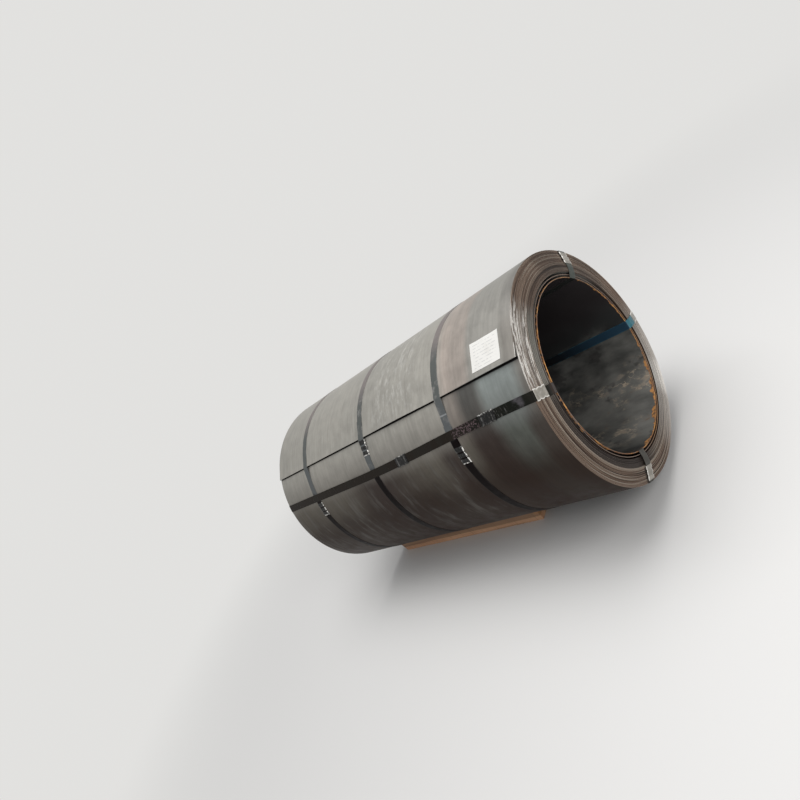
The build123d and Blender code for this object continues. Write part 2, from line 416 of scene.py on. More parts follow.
    def ramp(self, value: Signal, stops: dict[float, Colour]) -> Signal:
        """A colour looked up between stops.

        Args:
            value: what is looked up.
            stops: colours by their places, from the lowest to the highest.

        Returns:
            The colour.
        """
        node = self.add("ValToRGB", {0: value})
        band = node.color_ramp
        band.interpolation = "EASE"
        first, *middle, last = stops
        for stop in middle:
            band.elements.new(stop).color = self.full(stops[stop])
        for element, stop in ((band.elements[0], first), (band.elements[-1], last)):
            element.position = stop
            element.color = self.full(stops[stop])
        return Signal(self, node.outputs[0])

    def shade(self, base: Shade, roughness: Value, metallic: Value = 0.0, bump: Signal | None = None,
              bump_depth: float = 0.0, specular: float = 0.5) -> bpy.types.Material:
        """Close the tree with the shader.

        Args:
            base: base colour.
            roughness: roughness.
            metallic: metallic share.
            bump: height of the fine relief, from 0 to 1.
            bump_depth: how deep the relief is.
            specular: specular level.

        Returns:
            The finished material.
        """
        levels = {"Base Color": self.full(base), "Roughness": roughness, "Metallic": metallic,
                  "Specular IOR Level": specular}
        if bump is not None:
            levels["Normal"] = self.signal("Bump", {"Height": bump, "Distance": bump_depth, "Strength": 1.0})
        self.add("OutputMaterial", {"Surface": self.signal("BsdfPrincipled", levels)})
        return self.block

    @staticmethod
    def full(colour: Shade) -> Any:
        """A colour with its alpha, or the signal as it is."""
        return colour if isinstance(colour, Signal) else (*colour, 1.0)


@dataclass(frozen=True)
class MillScale:
    """The rolled skin: grey scale in soft bands along the strip, pale on top, painted shade down the sides.
    """

    end_grey: Colour = (0.215, 0.206, 0.190)
    label_grey: Colour = (0.278, 0.269, 0.247)
    pink_grey: Colour = (0.385, 0.335, 0.298)
    dusky: Colour = (0.325, 0.288, 0.258)
    pale_grey: Colour = (0.348, 0.334, 0.302)
    rear_grey: Colour = (0.325, 0.313, 0.284)
    side_end: Colour = (0.070, 0.061, 0.054)
    side_green_reflection: Colour = (0.100, 0.106, 0.094)
    side_purple: Colour = (0.046, 0.035, 0.031)
    side_brown: Colour = (0.122, 0.110, 0.092)
    low_shade_brown: Colour = (0.023, 0.0125, 0.0085)
    dust: Colour = (0.52, 0.51, 0.48)
    below_tail_shade: Colour = (0.070, 0.072, 0.070)
    tail_gap_shade: Colour = (0.012, 0.011, 0.011)
    scuffed: Colour = (0.150, 0.145, 0.135)
    cool_reflection: Colour = (0.280, 0.318, 0.312)
    umber: Colour = (0.062, 0.050, 0.042)
    shaded: Colour = (0.170, 0.158, 0.142)

    def paint(self) -> bpy.types.Material:
        """Build the material: upper skin, sides and tail gap darkened as painted shade, and the fine bands.

        Returns:
            The finished material.
        """
        graph = Graph("mill_scale")
        streaks = graph.drawn(7.0, 95.0, 4.0, 0.62)
        mottle = graph.drawn(26.0, 26.0, 5.0, 0.65)
        # Painted shade: lower down, the skin turns to the side's darker colours.
        shaded_side_share = (graph.drawn(3.0, 6.0, 2.0) * 0.10 + graph.up).step(0.60, 0.38)
        skin = self.upper(graph).covered(shaded_side_share, self.side(graph))
        turn = graph.held("turn")
        # Painted shade: a dark line on the turn just under the tail's edge, in the gap's shadow.
        skin = skin.covered(turn.step(0.9975, 0.9992) * turn.step(1.0024, 1.0010), self.tail_gap_shade)
        fine = streaks.step(0.25, 0.75, 0.92, 1.08) + mottle.step(0.3, 0.7, -0.08, 0.08)
        skin = graph.blend(1.0, skin, graph.join(fine, fine, fine), "MULTIPLY")
        rough = mottle.step(0.25, 0.75, 0.36, 0.52)
        metallic = graph.up.step(0.0, 0.6, 0.12, 0.45)
        return graph.shade(skin, rough, metallic, streaks + mottle, bump_depth=0.00012, specular=0.06)

    def upper(self, graph: Graph) -> Signal:
        """The pale upper skin: bands along the strip, painted shade and reflection below the tail, and dust
        between the hoops.

        Args:
            graph: the material's graph.

        Returns:
            Its colour.
        """
        place = graph.drawn(2.0, 5.0, 3.0) * 0.07 + graph.along / STRIP_WIDTH + 0.465
        bands = graph.ramp(place, {
            0.0: self.end_grey,
            0.035: self.label_grey,
            0.110: self.label_grey,
            0.130: self.dusky,
            0.170: self.dusky,
            0.205: self.pink_grey,
            0.250: self.pale_grey,
            0.52: self.rear_grey,
            0.66: self.pale_grey,
            1.0: self.rear_grey,
        })
        # Painted shade beside the labelled end, just under the tail.
        beside = graph.near_setback(0.0, 0.035, 0.06) * graph.near_angle(140.0, 18.0, 32.0)
        skin = bands.covered(beside * 0.7, self.shaded)
        below_tail = graph.up.step(0.735, 0.728) * graph.across.step(0.1, -0.1)
        # Painted shade and reflection below the tail: a shaded stretch, a darker one, and a blue grey
        # reflection.
        for setback, full, none, share, colour in (
            (0.20, 0.10, 0.16, 0.6, self.shaded),
            (0.222, 0.018, 0.075, 0.82, self.below_tail_shade),
            (0.10, 0.05, 0.10, 0.75, self.cool_reflection),
        ):
            skin = skin.covered(graph.near_setback(setback, full, none) * below_tail * share, colour)
        # Painted shade: darker further down below the tail.
        skin = skin.covered(below_tail * graph.up.step(0.72, 0.50, 0.0, 0.34), self.umber)
        specks = graph.drawn(34.0, 75.0, 5.0, 0.66).step(0.48, 0.66)
        pale_top = graph.near_setback(0.58, 0.07, 0.19) * graph.up.step(0.6, 0.85)
        return skin.covered(specks * pale_top * 0.5, self.dust)

    def side(self, graph: Graph) -> Signal:
        """The side, darkened as painted shade: bands round the coil, a green grey painted reflection near
        the labelled end, and purple further back.

        Args:
            graph: the material's graph.

        Returns:
            Its colour.
        """
        place = graph.drawn(2.0, 9.0, 2.0) * 0.03 + graph.along / STRIP_WIDTH + 0.485
        bands = graph.ramp(place, {
            0.0: self.side_end,
            0.025: self.side_end,
            # Painted reflection: the green grey band near the labelled end.
            0.050: self.side_green_reflection,
            0.080: self.side_green_reflection,
            0.125: self.side_purple,
            0.165: self.side_purple,
            0.21: self.side_brown,
            0.26: self.side_purple,
            0.32: self.side_brown,
            0.55: self.side_purple,
            0.75: self.side_brown,
            1.0: self.side_brown,
        })
        depth = graph.drawn(6.0, 5.0, 3.0, 0.6) * 0.35 + graph.up
        # Painted shade: darker still towards the bottom.
        skin = bands.covered(depth.step(0.60, 0.10, 0.0, 0.9), self.low_shade_brown)
        scuffs = graph.drawn(9.0, 30.0, 5.0, 0.62).step(0.48, 0.72)
        return skin.covered(scuffs * graph.along.step(-0.42, -0.30, 0.0, 0.34), self.scuffed)


@dataclass(frozen=True)
class BoreScale:
    """The innermost turn's face: near black scale, paler as painted light and scuffed low near the opening,
    with a rusty rim.
    """

    black: Colour = (0.024, 0.020, 0.021)
    grey: Colour = (0.022, 0.023, 0.023)
    # The pale grey of painted light, low near the opening.
    worn: Colour = (0.235, 0.230, 0.210)
    scratch: Colour = (0.45, 0.37, 0.28)
    rust: Colour = (0.17, 0.095, 0.052)
    rim_rust: Colour = (0.52, 0.25, 0.085)
    rim: float = -0.759

    def paint(self) -> bpy.types.Material:
        """Build the material: black scale made grey low down as painted light, its scuffs and scratches,
        then its rust.

        Returns:
            The finished material.
        """
        graph = Graph("bore_scale")
        clouds = graph.drawn(9.0, 5.0, 4.0, 0.6)
        # Painted light: the low side near the opening is painted paler, in clouds.
        shown = graph.near_angle(-66.0, 10.0, 82.0) * graph.along.step(0.20, -0.60)
        skin = graph.blend((clouds * 0.4 + shown).step(0.10, 0.70), self.black, self.grey)
        lit = clouds * 1.1 + shown
        skin = skin.covered(lit.step(1.05, 1.95), self.worn)
        scuffs = graph.drawn(34.0, 20.0, 6.0, 0.7)
        skin = skin.covered(scuffs.step(0.55, 0.70) * lit.step(1.35, 1.7, 0.0, 0.5), self.rust)
        scored = graph.drawn(7.0, 7.0, 1.0).step(0.50, 0.60) * graph.near_angle(-74.0, 18.0, 40.0)
        scored = scored * graph.along.step(-0.35, -0.55)
        thin = abs(graph.drawn(16.0, 9.0, 3.0, 0.55) - 0.5).step(0.012, 0.002)
        scratches = thin * lit.step(1.0, 1.45, 0.0, 0.9) * scored * scuffs.step(0.38, 0.50)
        skin = skin.covered(scratches, self.scratch)
        skin = skin.covered(scored * scuffs.step(0.48, 0.62, 0.0, 0.5), self.scratch)
        smudge = graph.drawn(12.0, 11.0, 3.0, 0.6)
        skin = self.rusted(graph, skin.covered(smudge.step(0.42, 0.34, 0.0, 0.5), self.black))
        rough = clouds.step(0.3, 0.7, 0.34, 0.6)
        return graph.shade(skin, rough, metallic=0.3, bump=scuffs, bump_depth=0.0001, specular=0.3)

    def rusted(self, graph: Graph, skin: Signal) -> Signal:
        """The skin with rust along its rim: a few millimetres all round, and further in low down.

        Args:
            graph: the material's graph.
            skin: the colour without the rust.

        Returns:
            The colour with it.
        """
        flakes = graph.drawn(60.0, 45.0, 3.0, 0.55)
        broad = graph.drawn(24.0, 0.0, 2.0)
        reach = (graph.near_angle(-88.0, 25.0, 50.0) * 0.009 + 0.0030) * broad.step(0.35, 0.65, 0.2, 1.3)
        share = reach - ((flakes - 0.5) * 0.018 + (graph.along - self.rim))
        rust = graph.blend(flakes.step(0.42, 0.55), self.rim_rust, self.rust)
        return skin.covered(share.step(-0.0022, 0.0010), rust)


@dataclass(frozen=True)
class ShearedEdge:
    """The sheared edges on both ends: brown, each turn its own shade, with painted highlights here and there.
    """

    dark: Colour = (0.048, 0.034, 0.027)
    brown: Colour = (0.158, 0.104, 0.076)
    tan: Colour = (0.250, 0.176, 0.130)
    pale: Colour = (0.40, 0.335, 0.270)
    grey: Colour = (0.300, 0.272, 0.242)
    highlight_white: Colour = (1.0, 0.96, 0.90)
    sheen: Colour = (0.66, 0.62, 0.57)
    purple: Colour = (0.018, 0.013, 0.012)
    umber: Colour = (0.040, 0.030, 0.026)
    ash: Colour = (0.215, 0.208, 0.180)
    crevice: Colour = (0.016, 0.012, 0.010)
    loose: Colour = (0.330, 0.250, 0.205)
    rust: Colour = (0.56, 0.29, 0.100)
    rust_brown: Colour = (0.26, 0.115, 0.050)
    group_start: float = 19.6
    loose_start: float = 28.93
    rim_start: float = 29.90

    def paint(self) -> bpy.types.Material:
        """Build the material: the turns' own shades, painted light and shade, the inner turns, then the rust.

        Returns:
            The finished material.
        """
        graph = Graph("sheared_edge")
        turn = graph.held("turn")
        each = graph.drawn(3.0, 0.0, 1.0, extra=turn * 1.9)
        group = graph.drawn(2.0, 0.0, 1.0, extra=turn * 0.36)
        grit = graph.drawn(34.0, 0.0, 3.0, 0.6, extra=turn * 1.9)
        tone = (grit - 0.5) * 0.04 + each * 0.62 + group * 0.38
        skin = graph.ramp(tone, {0.38: self.dark, 0.455: self.brown, 0.525: self.tan, 0.62: self.pale})
        skin = self.inner_turns(graph, turn, tone, self.polished(graph, turn, skin))
        # Painted shade: dark lines in the crevices between the turns.
        skin = skin.covered(graph.held("crevice") * 0.8, self.crevice)
        flakes = graph.drawn(60.0, 60.0, 4.0, 0.6)
        broad = graph.drawn(18.0, 0.0, 3.0, 0.6)
        bare = (flakes + broad).step(0.80, 1.05) - graph.near_angle(62.0, 25.0, 55.0) * 0.5
        rusty = graph.math("GREATER_THAN", turn, self.rim_start) * graph.math("MAXIMUM", bare, 0.2)
        skin = skin.covered(rusty, graph.blend(broad.step(0.45, 0.62), self.rust_brown, self.rust))
        return graph.shade(skin, tone.step(0.4, 0.6, 0.55, 0.4), metallic=0.35, specular=0.3)

    def polished(self, graph: Graph, turn: Signal, skin: Signal) -> Signal:
        """White painted highlight streaks on one side, an even painted sheen on the other, and stretches
        of painted shade.

        Args:
            graph: the material's graph.
            turn: how many turns a point lies from the tail.
            skin: the colour below.

        Returns:
            The colour with them.
        """
        left = graph.near_angle(127.0, 9.0, 25.0)
        skin = skin.covered(left * 0.6, self.grey)
        inner = turn.step(13.5, 15.5) * turn.step(19.7, 19.4)
        where = turn.step(9.5, 8.0) * 0.7 + inner * 0.7 + 0.3
        # Painted highlight: white streaks along the turns on the left, where light grazes the edges.
        rubbed = graph.drawn(16.0, 0.0, 4.0, 0.62, extra=turn * 0.8)
        streak = rubbed.step(0.43, 0.55) * left * where
        skin = skin.covered(graph.math("MINIMUM", streak, 0.95), self.highlight_white)
        # Painted sheen on the right, with a painted highlight at its middle.
        bands = graph.drawn(2.5, 0.0, 1.0, extra=turn * 0.9)
        smooth = graph.near_angle(-52.0, 8.0, 52.0) * bands.step(0.36, 0.58, 0.62, 0.92)
        skin = skin.covered(smooth, self.sheen)
        skin = skin.covered(graph.near_angle(-52.0, 1.0, 13.0) * 0.7, self.highlight_white)
        shaded = graph.math("MAXIMUM", graph.near_angle(26.0, 6.0, 16.0), graph.near_angle(62.0, 6.0, 16.0))
        skin = skin.covered(shaded * 0.4, self.dark)
        beside = graph.math("MAXIMUM", graph.near_angle(47.3, 0.4, 1.3), graph.near_angle(-127.6, 0.5, 1.6))
        return skin.covered(beside * turn.step(22.0, 15.0, 0.0, 0.85), self.crevice)

    def inner_turns(self, graph: Graph, turn: Signal, tone: Signal, skin: Signal) -> Signal:
        """The pale turn at the slope's foot, the group inside it darkened as painted shade, and the loose
        turns.

        Args:
            graph: the material's graph.
            turn: how many turns a point lies from the tail.
            tone: the turns' own lightness.
            skin: the colour below.

        Returns:
            The colour with them.
        """
        low_left = graph.near_angle(195.0, 40.0, 62.0)
        lip = turn.step(16.4, 17.4) * turn.step(19.6, 19.4) * (low_left * 0.45 + 0.3)
        skin = skin.covered(lip, self.pale)
        # Painted shade: the recessed group inside the slope is darkened, most low on the near side; greyer on
        # the left.
        left = graph.near_angle(130.0, 12.0, 28.0)
        shade = graph.blend(tone.step(0.40, 0.58), self.purple, self.umber).covered(left * 0.85, self.ash)
        within = turn.step(self.group_start - 0.1, self.group_start + 0.1)
        skin = skin.covered(within * (graph.math("MAXIMUM", low_left, left) * 0.55 + 0.38), shade)
        rusty = graph.blend(graph.near_angle(-55.0, 35.0, 65.0) * 0.6, self.loose, self.rust)
        return skin.covered(graph.math("GREATER_THAN", turn, self.loose_start) * 0.8, rusty)


@dataclass(frozen=True)
class CutEnd:
    """The strip's two cut ends, near black."""

    black: Colour = (0.020, 0.018, 0.017)
    brown: Colour = (0.06, 0.05, 0.045)

    def paint(self) -> bpy.types.Material:
        """Build the material: black with brown specks.

        Returns:
            The finished material.
        """
        graph = Graph("cut_end")
        grain = graph.grain(400.0, 3.0)
        skin = graph.blend(grain.step(0.45, 0.7), self.black, self.brown)
        return graph.shade(skin, 0.6, metallic=0.3, bump=grain, bump_depth=0.0001, specular=0.2)


@dataclass(frozen=True)
class HoopSteel:
    """Blued hoop strapping, coloured by height as painted light and shade: a pale painted sheen on top,
    blue grey under the tail, black down the sides.
    """

    pale_top: Colour = (0.22, 0.195, 0.188)
    green: Colour = (0.105, 0.112, 0.108)
    blue: Colour = (0.112, 0.120, 0.123)
    black: Colour = (0.006, 0.004, 0.004)
    worn: Colour = (0.30, 0.29, 0.28)
    seam: Colour = (0.50, 0.52, 0.54)
    seam_up: float = 0.629

    def paint(self) -> bpy.types.Material:
        """Build the material: painted light and shade by height, worn patches, the first hoop's seam and
        rubbed edges.

        Returns:
            The finished material.
        """
        graph = Graph("hoop_steel")
        wear = graph.grain(42.0, 5.0, 0.62)
        # Painted light and shade by height: a pale sheen on top, black down the sides.
        skin = graph.ramp((wear - 0.5) * 0.10 + graph.up, {
            0.0: self.black,
            0.44: self.black,
            0.52: self.blue,
            0.68: self.blue,
            0.76: self.green,
            0.90: self.green,
            1.0: self.pale_top,
        })
        patches = wear.step(0.5, 0.72) * graph.grain(11.0, 3.0).step(0.45, 0.62, 0.0, 0.6)
        skin = skin.covered(patches * graph.up.step(0.35, 0.6), self.worn)
        seam = abs(graph.up - self.seam_up).step(0.006, 0.003) * graph.across.step(0.1, -0.1, 0.0, 0.35)
        skin = skin.covered(seam * graph.near_setback(HOOP_SETBACKS[0], 0.02, 0.03), self.seam)
        rubbed = graph.held("edge") * wear.step(0.42, 0.6) * graph.up.step(0.3, 0.6, 0.1, 0.5)
        skin = skin.covered(rubbed, self.worn)
        rough = wear.step(0.3, 0.7, 0.40, 0.55)
        return graph.shade(skin, rough, metallic=0.4, bump=wear, bump_depth=0.0001, specular=0.03)


@dataclass(frozen=True)
class StrapSteel:
    """Waxed strapping of one colour, darker in the bore as painted shade, with worn patches and edges."""

    name: str
    base: Colour
    worn: Colour
    bore: Colour
    roughness: float
    metallic: float = 0.4
    dark: Colour = (0.010, 0.010, 0.011)
    turned_in: tuple[float, float] = (0.3065, 0.3052)
    within: tuple[float, float] = (0.31, 0.306)

    def paint(self) -> bpy.types.Material:
        """Build the material: worn patches, its run through the bore, darkened inwards as painted shade,
        and edges.

        Returns:
            The finished material.
        """
        graph = Graph(self.name)
        wear = graph.grain(42.0, 5.0, 0.62)
        patches = wear.step(0.5, 0.72) * graph.grain(9.0, 2.0).step(0.42, 0.62)
        skin = graph.blend(patches, self.base, self.worn)
        # Painted shade: darker in the bore, and darker still further in.
        skin = skin.covered(graph.radius.step(*self.turned_in), self.bore)
        skin = skin.covered(graph.radius.step(*self.within) * graph.along.step(-0.72, -0.40), self.dark)
        skin = skin.covered(graph.held("edge") * wear.step(0.35, 0.6) * 0.45, self.worn)
        rough = wear.step(0.3, 0.7, self.roughness - 0.06, self.roughness + 0.1)
        return graph.shade(skin, rough, self.metallic, bump=wear, bump_depth=0.0001, specular=0.35)


@dataclass(frozen=True)
class BlackStrap:
    """The near strap's glossy black wax, with painted olive reflections, a painted silvery glint and a
    crumpled brown stretch.
    """

    wax: Colour = (0.008, 0.009, 0.007)
    olive_reflection: Colour = (0.018, 0.016, 0.013)
    silver: Colour = (0.20, 0.185, 0.205)
    crumpled: Colour = (0.105, 0.075, 0.080)
    scratch: Colour = (0.16, 0.16, 0.15)
    brown: Colour = (0.017, 0.013, 0.010)
    bore: Colour = (0.030, 0.020, 0.016)
    turned_in: tuple[float, float] = (0.345, 0.33)

    def paint(self) -> bpy.types.Material:
        """Build the material: wax that browns along the strap, its painted reflections and glint, crumpled
        stretch and scratches.

        Returns:
            The finished material.
        """
        graph = Graph("strap_black")
        wear = graph.grain(60.0, 5.0, 0.62)
        skin = graph.blend(graph.along.step(-0.55, -0.42), self.wax, self.brown)
        # Painted reflection: olive streaks along the strap.
        skin = skin.covered(graph.drawn(4.0, 14.0, 2.0).step(0.5, 0.62, 0.0, 0.7), self.olive_reflection)
        # Painted glint: a small silvery patch near the labelled end.
        blots = graph.drawn(30.0, 22.0, 4.0, 0.6).step(0.40, 0.60)
        skin = skin.covered(graph.near_setback(0.056, 0.010, 0.026) * blots * 0.36, self.silver)
        crumpled = graph.near_setback(0.278, 0.055, 0.068)
        skin = skin.covered(crumpled * graph.grain(170.0, 3.0, 0.6).step(0.48, 0.60), self.crumpled)
        ticks = graph.drawn(50.0, 260.0, 3.0, 0.6).step(0.56, 0.64)
        skin = skin.covered(graph.near_setback(0.135, 0.030, 0.055) * ticks * 0.5, self.scratch)
        skin = skin.covered(graph.radius.step(*self.turned_in), self.bore)
        rough = wear.step(0.3, 0.7, 0.16, 0.30) + crumpled * 0.2
        return graph.shade(skin, rough, bump=wear, bump_depth=0.0001, specular=0.06)


@dataclass(frozen=True)
class Zinc:
    """Zinc coated seal steel: smooth and silvery, a little smeared, bright along its crimped edges."""

    dull: Colour = (0.27, 0.252, 0.222)
    silver: Colour = (0.375, 0.352, 0.315)
    bright: Colour = (0.84, 0.82, 0.77)

    def paint(self) -> bpy.types.Material:
        """Build the material: dull and silvery smears under bright edges.

        Returns:
            The finished material.
        """
        graph = Graph("seal_zinc")
        smear = graph.grain(55.0, 3.0)
        skin = graph.blend(smear.step(0.38, 0.62), self.dull, self.silver)
        skin = skin.covered(graph.held("edge") * 0.85, self.bright)
        rough = smear.step(0.3, 0.7, 0.30, 0.42)
        return graph.shade(skin, rough, metallic=0.6, bump=smear, bump_depth=0.0001)


@dataclass(frozen=True)
class DarkSeal:
    """Blued seal steel with painted glints where the jaws bit and at one end, and bright edges that are
    partly rubbed steel and partly painted highlight.
    """

    blued: Colour = (0.012, 0.012, 0.012)
    rubbed: Colour = (0.050, 0.049, 0.048)
    bright: Colour = (0.92, 0.90, 0.86)

    def paint(self) -> bpy.types.Material:
        """Build the material: rubbed patches, and bright steel where the mesh marks wear and painted
        highlights.

        Returns:
            The finished material.
        """
        graph = Graph("seal_blued")
        wear = graph.grain(120.0, 4.0, 0.6)
        skin = graph.blend(wear.step(0.48, 0.68), self.blued, self.rubbed)
        # Bright steel where the mesh marks it: partly wear, partly painted highlight and glint.
        skin = skin.covered(graph.held("edge") * wear.step(0.44, 0.54, 0.1, 1.0), self.bright)
        rough = wear.step(0.3, 0.7, 0.32, 0.46)
        return graph.shade(skin, rough, metallic=0.3, bump=wear, bump_depth=0.0001, specular=0.2)


@dataclass(frozen=True)
class Paper:
    """White paper, a little grey and cockled, with faint empty rules and no lettering."""

    white: Colour = (0.80, 0.785, 0.75)
    soiled: Colour = (0.66, 0.64, 0.60)
    rule: Colour = (0.42, 0.42, 0.42)
    rows: int = 9

    def paint(self) -> bpy.types.Material:
        """Build the material: broken rules across the sheet where its own height is near a whole row.

        Returns:
            The finished material.
        """
        graph = Graph("label_paper")
        blot = graph.grain(24.0, 4.0)
        skin = graph.blend(blot.step(0.5, 0.8, 0.0, 0.5), self.white, self.soiled)
        down = graph.held("down")
        over = graph.held("over")
        inside = down.step(0.10, 0.12) * down.step(0.92, 0.90) * over.step(0.10, 0.11) * over.step(0.90, 0.89)
        row = down * self.rows
        spot = graph.join(over * 11.0, graph.math("FLOOR", row) * 3.7, 0.0)
        dashes = graph.noise(spot, 1.0, 1.0, 0.5).step(0.46, 0.50, 0.15, 1.0)
        line = graph.math("LESS_THAN", graph.math("FRACT", row), 0.22)
        skin = skin.covered(line * dashes * inside * 0.5, self.rule)
        return graph.shade(skin, 0.75, bump=blot, bump_depth=0.0002)


@dataclass(frozen=True)
class SawnTimber:
    """Rough sawn reddish timber: long grain, saw marks across it, and paler broken ends."""

    red: Colour = (0.585, 0.325, 0.190)
    pale: Colour = (0.785, 0.490, 0.295)
    dark: Colour = (0.12, 0.070, 0.045)
    broken: Colour = (0.62, 0.26, 0.08)

    def paint(self) -> bpy.types.Material:
        """Build the material: grain, saw marks, broken wood, and painted shade on its upper half.

        Returns:
            The finished material.
        """
        graph = Graph("timber_wood")
        grain = graph.stretched((60.0, 2.2, 60.0), 5.0, 0.62)
        broad = graph.stretched((16.0, 1.6, 16.0), 2.0)
        marks = graph.stretched((3.0, 160.0, 3.0), 2.0)
        skin = graph.ramp(grain, {0.30: self.dark, 0.48: self.red, 0.72: self.pale})
        skin = skin.covered(broad.step(0.4, 0.65, 0.0, 0.55), self.pale)
        skin = skin.covered(marks.step(0.55, 0.75, 0.0, 0.35), self.dark)
        broken = graph.held("broken")
        skin = skin.covered(broken * grain.step(0.3, 0.5), self.broken)
        # Painted shade: the wood is darker above a height, where the coil shades it.
        height = (broad - 0.5) * 0.016 + graph.signal("SeparateXYZ", {0: graph.place}, 2)
        upper_shade = height.step(0.024, 0.031, 0.0, 0.6) * graph.math("SUBTRACT", 1.0, broken)
        skin = skin.covered(upper_shade, self.dark)
        return graph.shade(skin, 0.78, bump=grain + marks * 0.8, bump_depth=0.0008)


@dataclass(frozen=True)
class WoundForm:
    """How the strip is wound: the frame's four-centre spiral, its sprung tail, and two loose turns inside.

    A bell is its height, its middle and its spread.
    """

    outer_radius: float = 0.413
    gauge: float = 0.003
    sheet: float = 0.00284
    turns: int = 31
    inner_end_angle: float = 150.2
    tail_angle: float = 133.0
    tail_lift: float = 0.004
    free_reach: float = 15.0
    front_rise: float = 0.0066
    middle_rises: tuple[Bell, ...] = ((0.0044, 0.56, 0.15), (0.0014, 1.02, 0.14))
    loose_radii: tuple[float, float] = (0.3185, 0.308)
    loose_slides: tuple[float, float] = (-0.008, -0.009)
    take_up: float = 0.15
    waver: float = 0.0004
    telescope: float = 0.013
    sloped_turns: float = 22.3
    jitter: float = 0.0007
    grooves: tuple[Bell, ...] = ((0.0010, 6.6, 0.5), (0.0022, 12.4, 0.6), (0.0018, 18.5, 0.5))
    recess: float = 0.0043

    @property
    def spring(self) -> float:
        """The angle over which the tail springs straight: its cosine is the radius over the lifted radius."""
        return math.degrees(math.acos(self.outer_radius / (self.outer_radius + self.tail_lift)))

    @property
    def inner_end(self) -> float:
        """How many turns the strip makes from its tail to its inner end, which the near strap covers."""
        return self.turns - (self.inner_end_angle - self.tail_angle) / 360.0

    def wound(self, swept: Array) -> Array:
        """Radius of the wound surface at an angle swept from the tail, counted on past whole turns.

        Each quarter turn is an arc about its own centre, a quarter gauge tighter than the last. A ray at
        the angle meets the arc at c.p + sqrt(R^2 - c^2 + (c.p)^2), with c the centre and p the ray.

        Args:
            swept: angles swept from the tail.

        Returns:
            The radii.
        """
        quarter = np.floor(np.mod(swept, 360.0) / 90.0).astype(int)
        step = self.gauge / 4.0
        starts = self.tail_angle - 90.0 * np.arange(1, 4)
        centres = np.zeros((4, 2))
        centres[1:] = np.cumsum(np.stack([cosine(starts), sine(starts)], axis=-1), axis=0) * step
        centre = centres[quarter]
        angle = self.tail_angle - swept
        reach = centre[..., 0] * cosine(angle) + centre[..., 1] * sine(angle)
        radius = self.outer_radius - quarter * step
        arc = reach + np.sqrt(radius**2 - (centre**2).sum(axis=-1) + reach**2)
        return arc - np.floor(swept / 360.0) * self.gauge

    def straight(self, swept: Array) -> Array:
        """How far the tail's straight stretch stands off the circle: R / cos(spring - swept) - R."""
        return self.outer_radius / cosine(np.clip(self.spring - swept, 0.0, None)) - self.outer_radius

    def tail_rise(self, swept: Array, along: Array) -> Array:
        """How far the tail stands off its straight stretch, where no hoop holds it down.

        It falls off with the square of what is left of its reach, and is widest between the labelled end
        and the first hoop.

        Args:
            swept: angles swept from the tail.
            along: places along the axis.

        Returns:
            The rise.
        """
        setback = along - LABELLED_END
        rise = self.front_rise * ease(-setback, -0.32, -0.05)
        for height, middle, spread in self.middle_rises:
            rise = rise + height * bump_at(setback, middle, spread)
        return np.clip(1.0 - swept / self.free_reach, 0.0, 1.0) ** 2 * rise

    def loosened(self, swept: Array, tight: Array, loose: tuple[float, float]) -> Array:
        """A measure of the tight turns that eases into those of the two loose ones, a whole turn each.

        Args:
            swept: angles swept from the tail.
            tight: the measure at each.
            loose: the measure of the first and of the second loose turn.

        Returns:
            The measure with them.
        """
        left = self.inner_end - swept / 360.0
        first = ease(-left, -2.0 - self.take_up, -2.0)
        second = ease(-left, -1.0 - self.take_up, -1.0)
        return tight + (loose[0] - tight) * first + (loose[1] - loose[0]) * second

    def radius(self, swept: Array, along: Array) -> Array:
        """Radius of the strip's outer face: the wound surface, the tail's rise and the loose turns' waver.

        Args:
            swept: angles swept from the tail.
            along: places along the axis.

        Returns:
            The radii.
        """
        tight = self.wound(swept) + self.straight(swept) + self.tail_rise(swept, along)
        apart = ease(swept / 360.0, self.inner_end - 2.0, self.inner_end - 1.8)
        waver = self.waver * (1.0 + sine(swept * 2.0 + 40.0)) * apart
        return self.loosened(swept, tight, self.loose_radii) + waver

    def slide(self, swept: Array) -> Array:
        """How far a turn has slid in from the labelled end; a turn that stands out has a negative slide.

        The turns stand out further the further in they lie, along a straight slope. Two waves of unlike
        length, counted in turns, put each turn a little behind it. Three grooves, and the recess of the
        turns inside the slope, deepest low on the near side, are added to them.

        Args:
            swept: angles swept from the tail.

        Returns:
            The slides.
        """
        turn = swept / 360.0
        angle = self.tail_angle - swept
        slope = -self.telescope * np.minimum(turn / self.sloped_turns, 1.0)
        long_wave = 0.55 * sine(360.0 * 0.37 * turn + 25.0 * sine(angle))
        short_wave = 0.45 * sine(360.0 * 0.61 * turn + 70.0)
        behind = self.jitter * (1.0 + (long_wave + short_wave))
        for depth, middle, spread in self.grooves:
            behind = behind + depth * bump_at(turn, middle, spread)
        recess = self.recess * ease(turn, 19.5, 20.2) * (0.5 + 0.5 * cosine(angle - 215.0))
        return self.loosened(swept, slope + behind * ease(turn, 0.5, 8.0) + recess, self.loose_slides)


FORM = WoundForm()


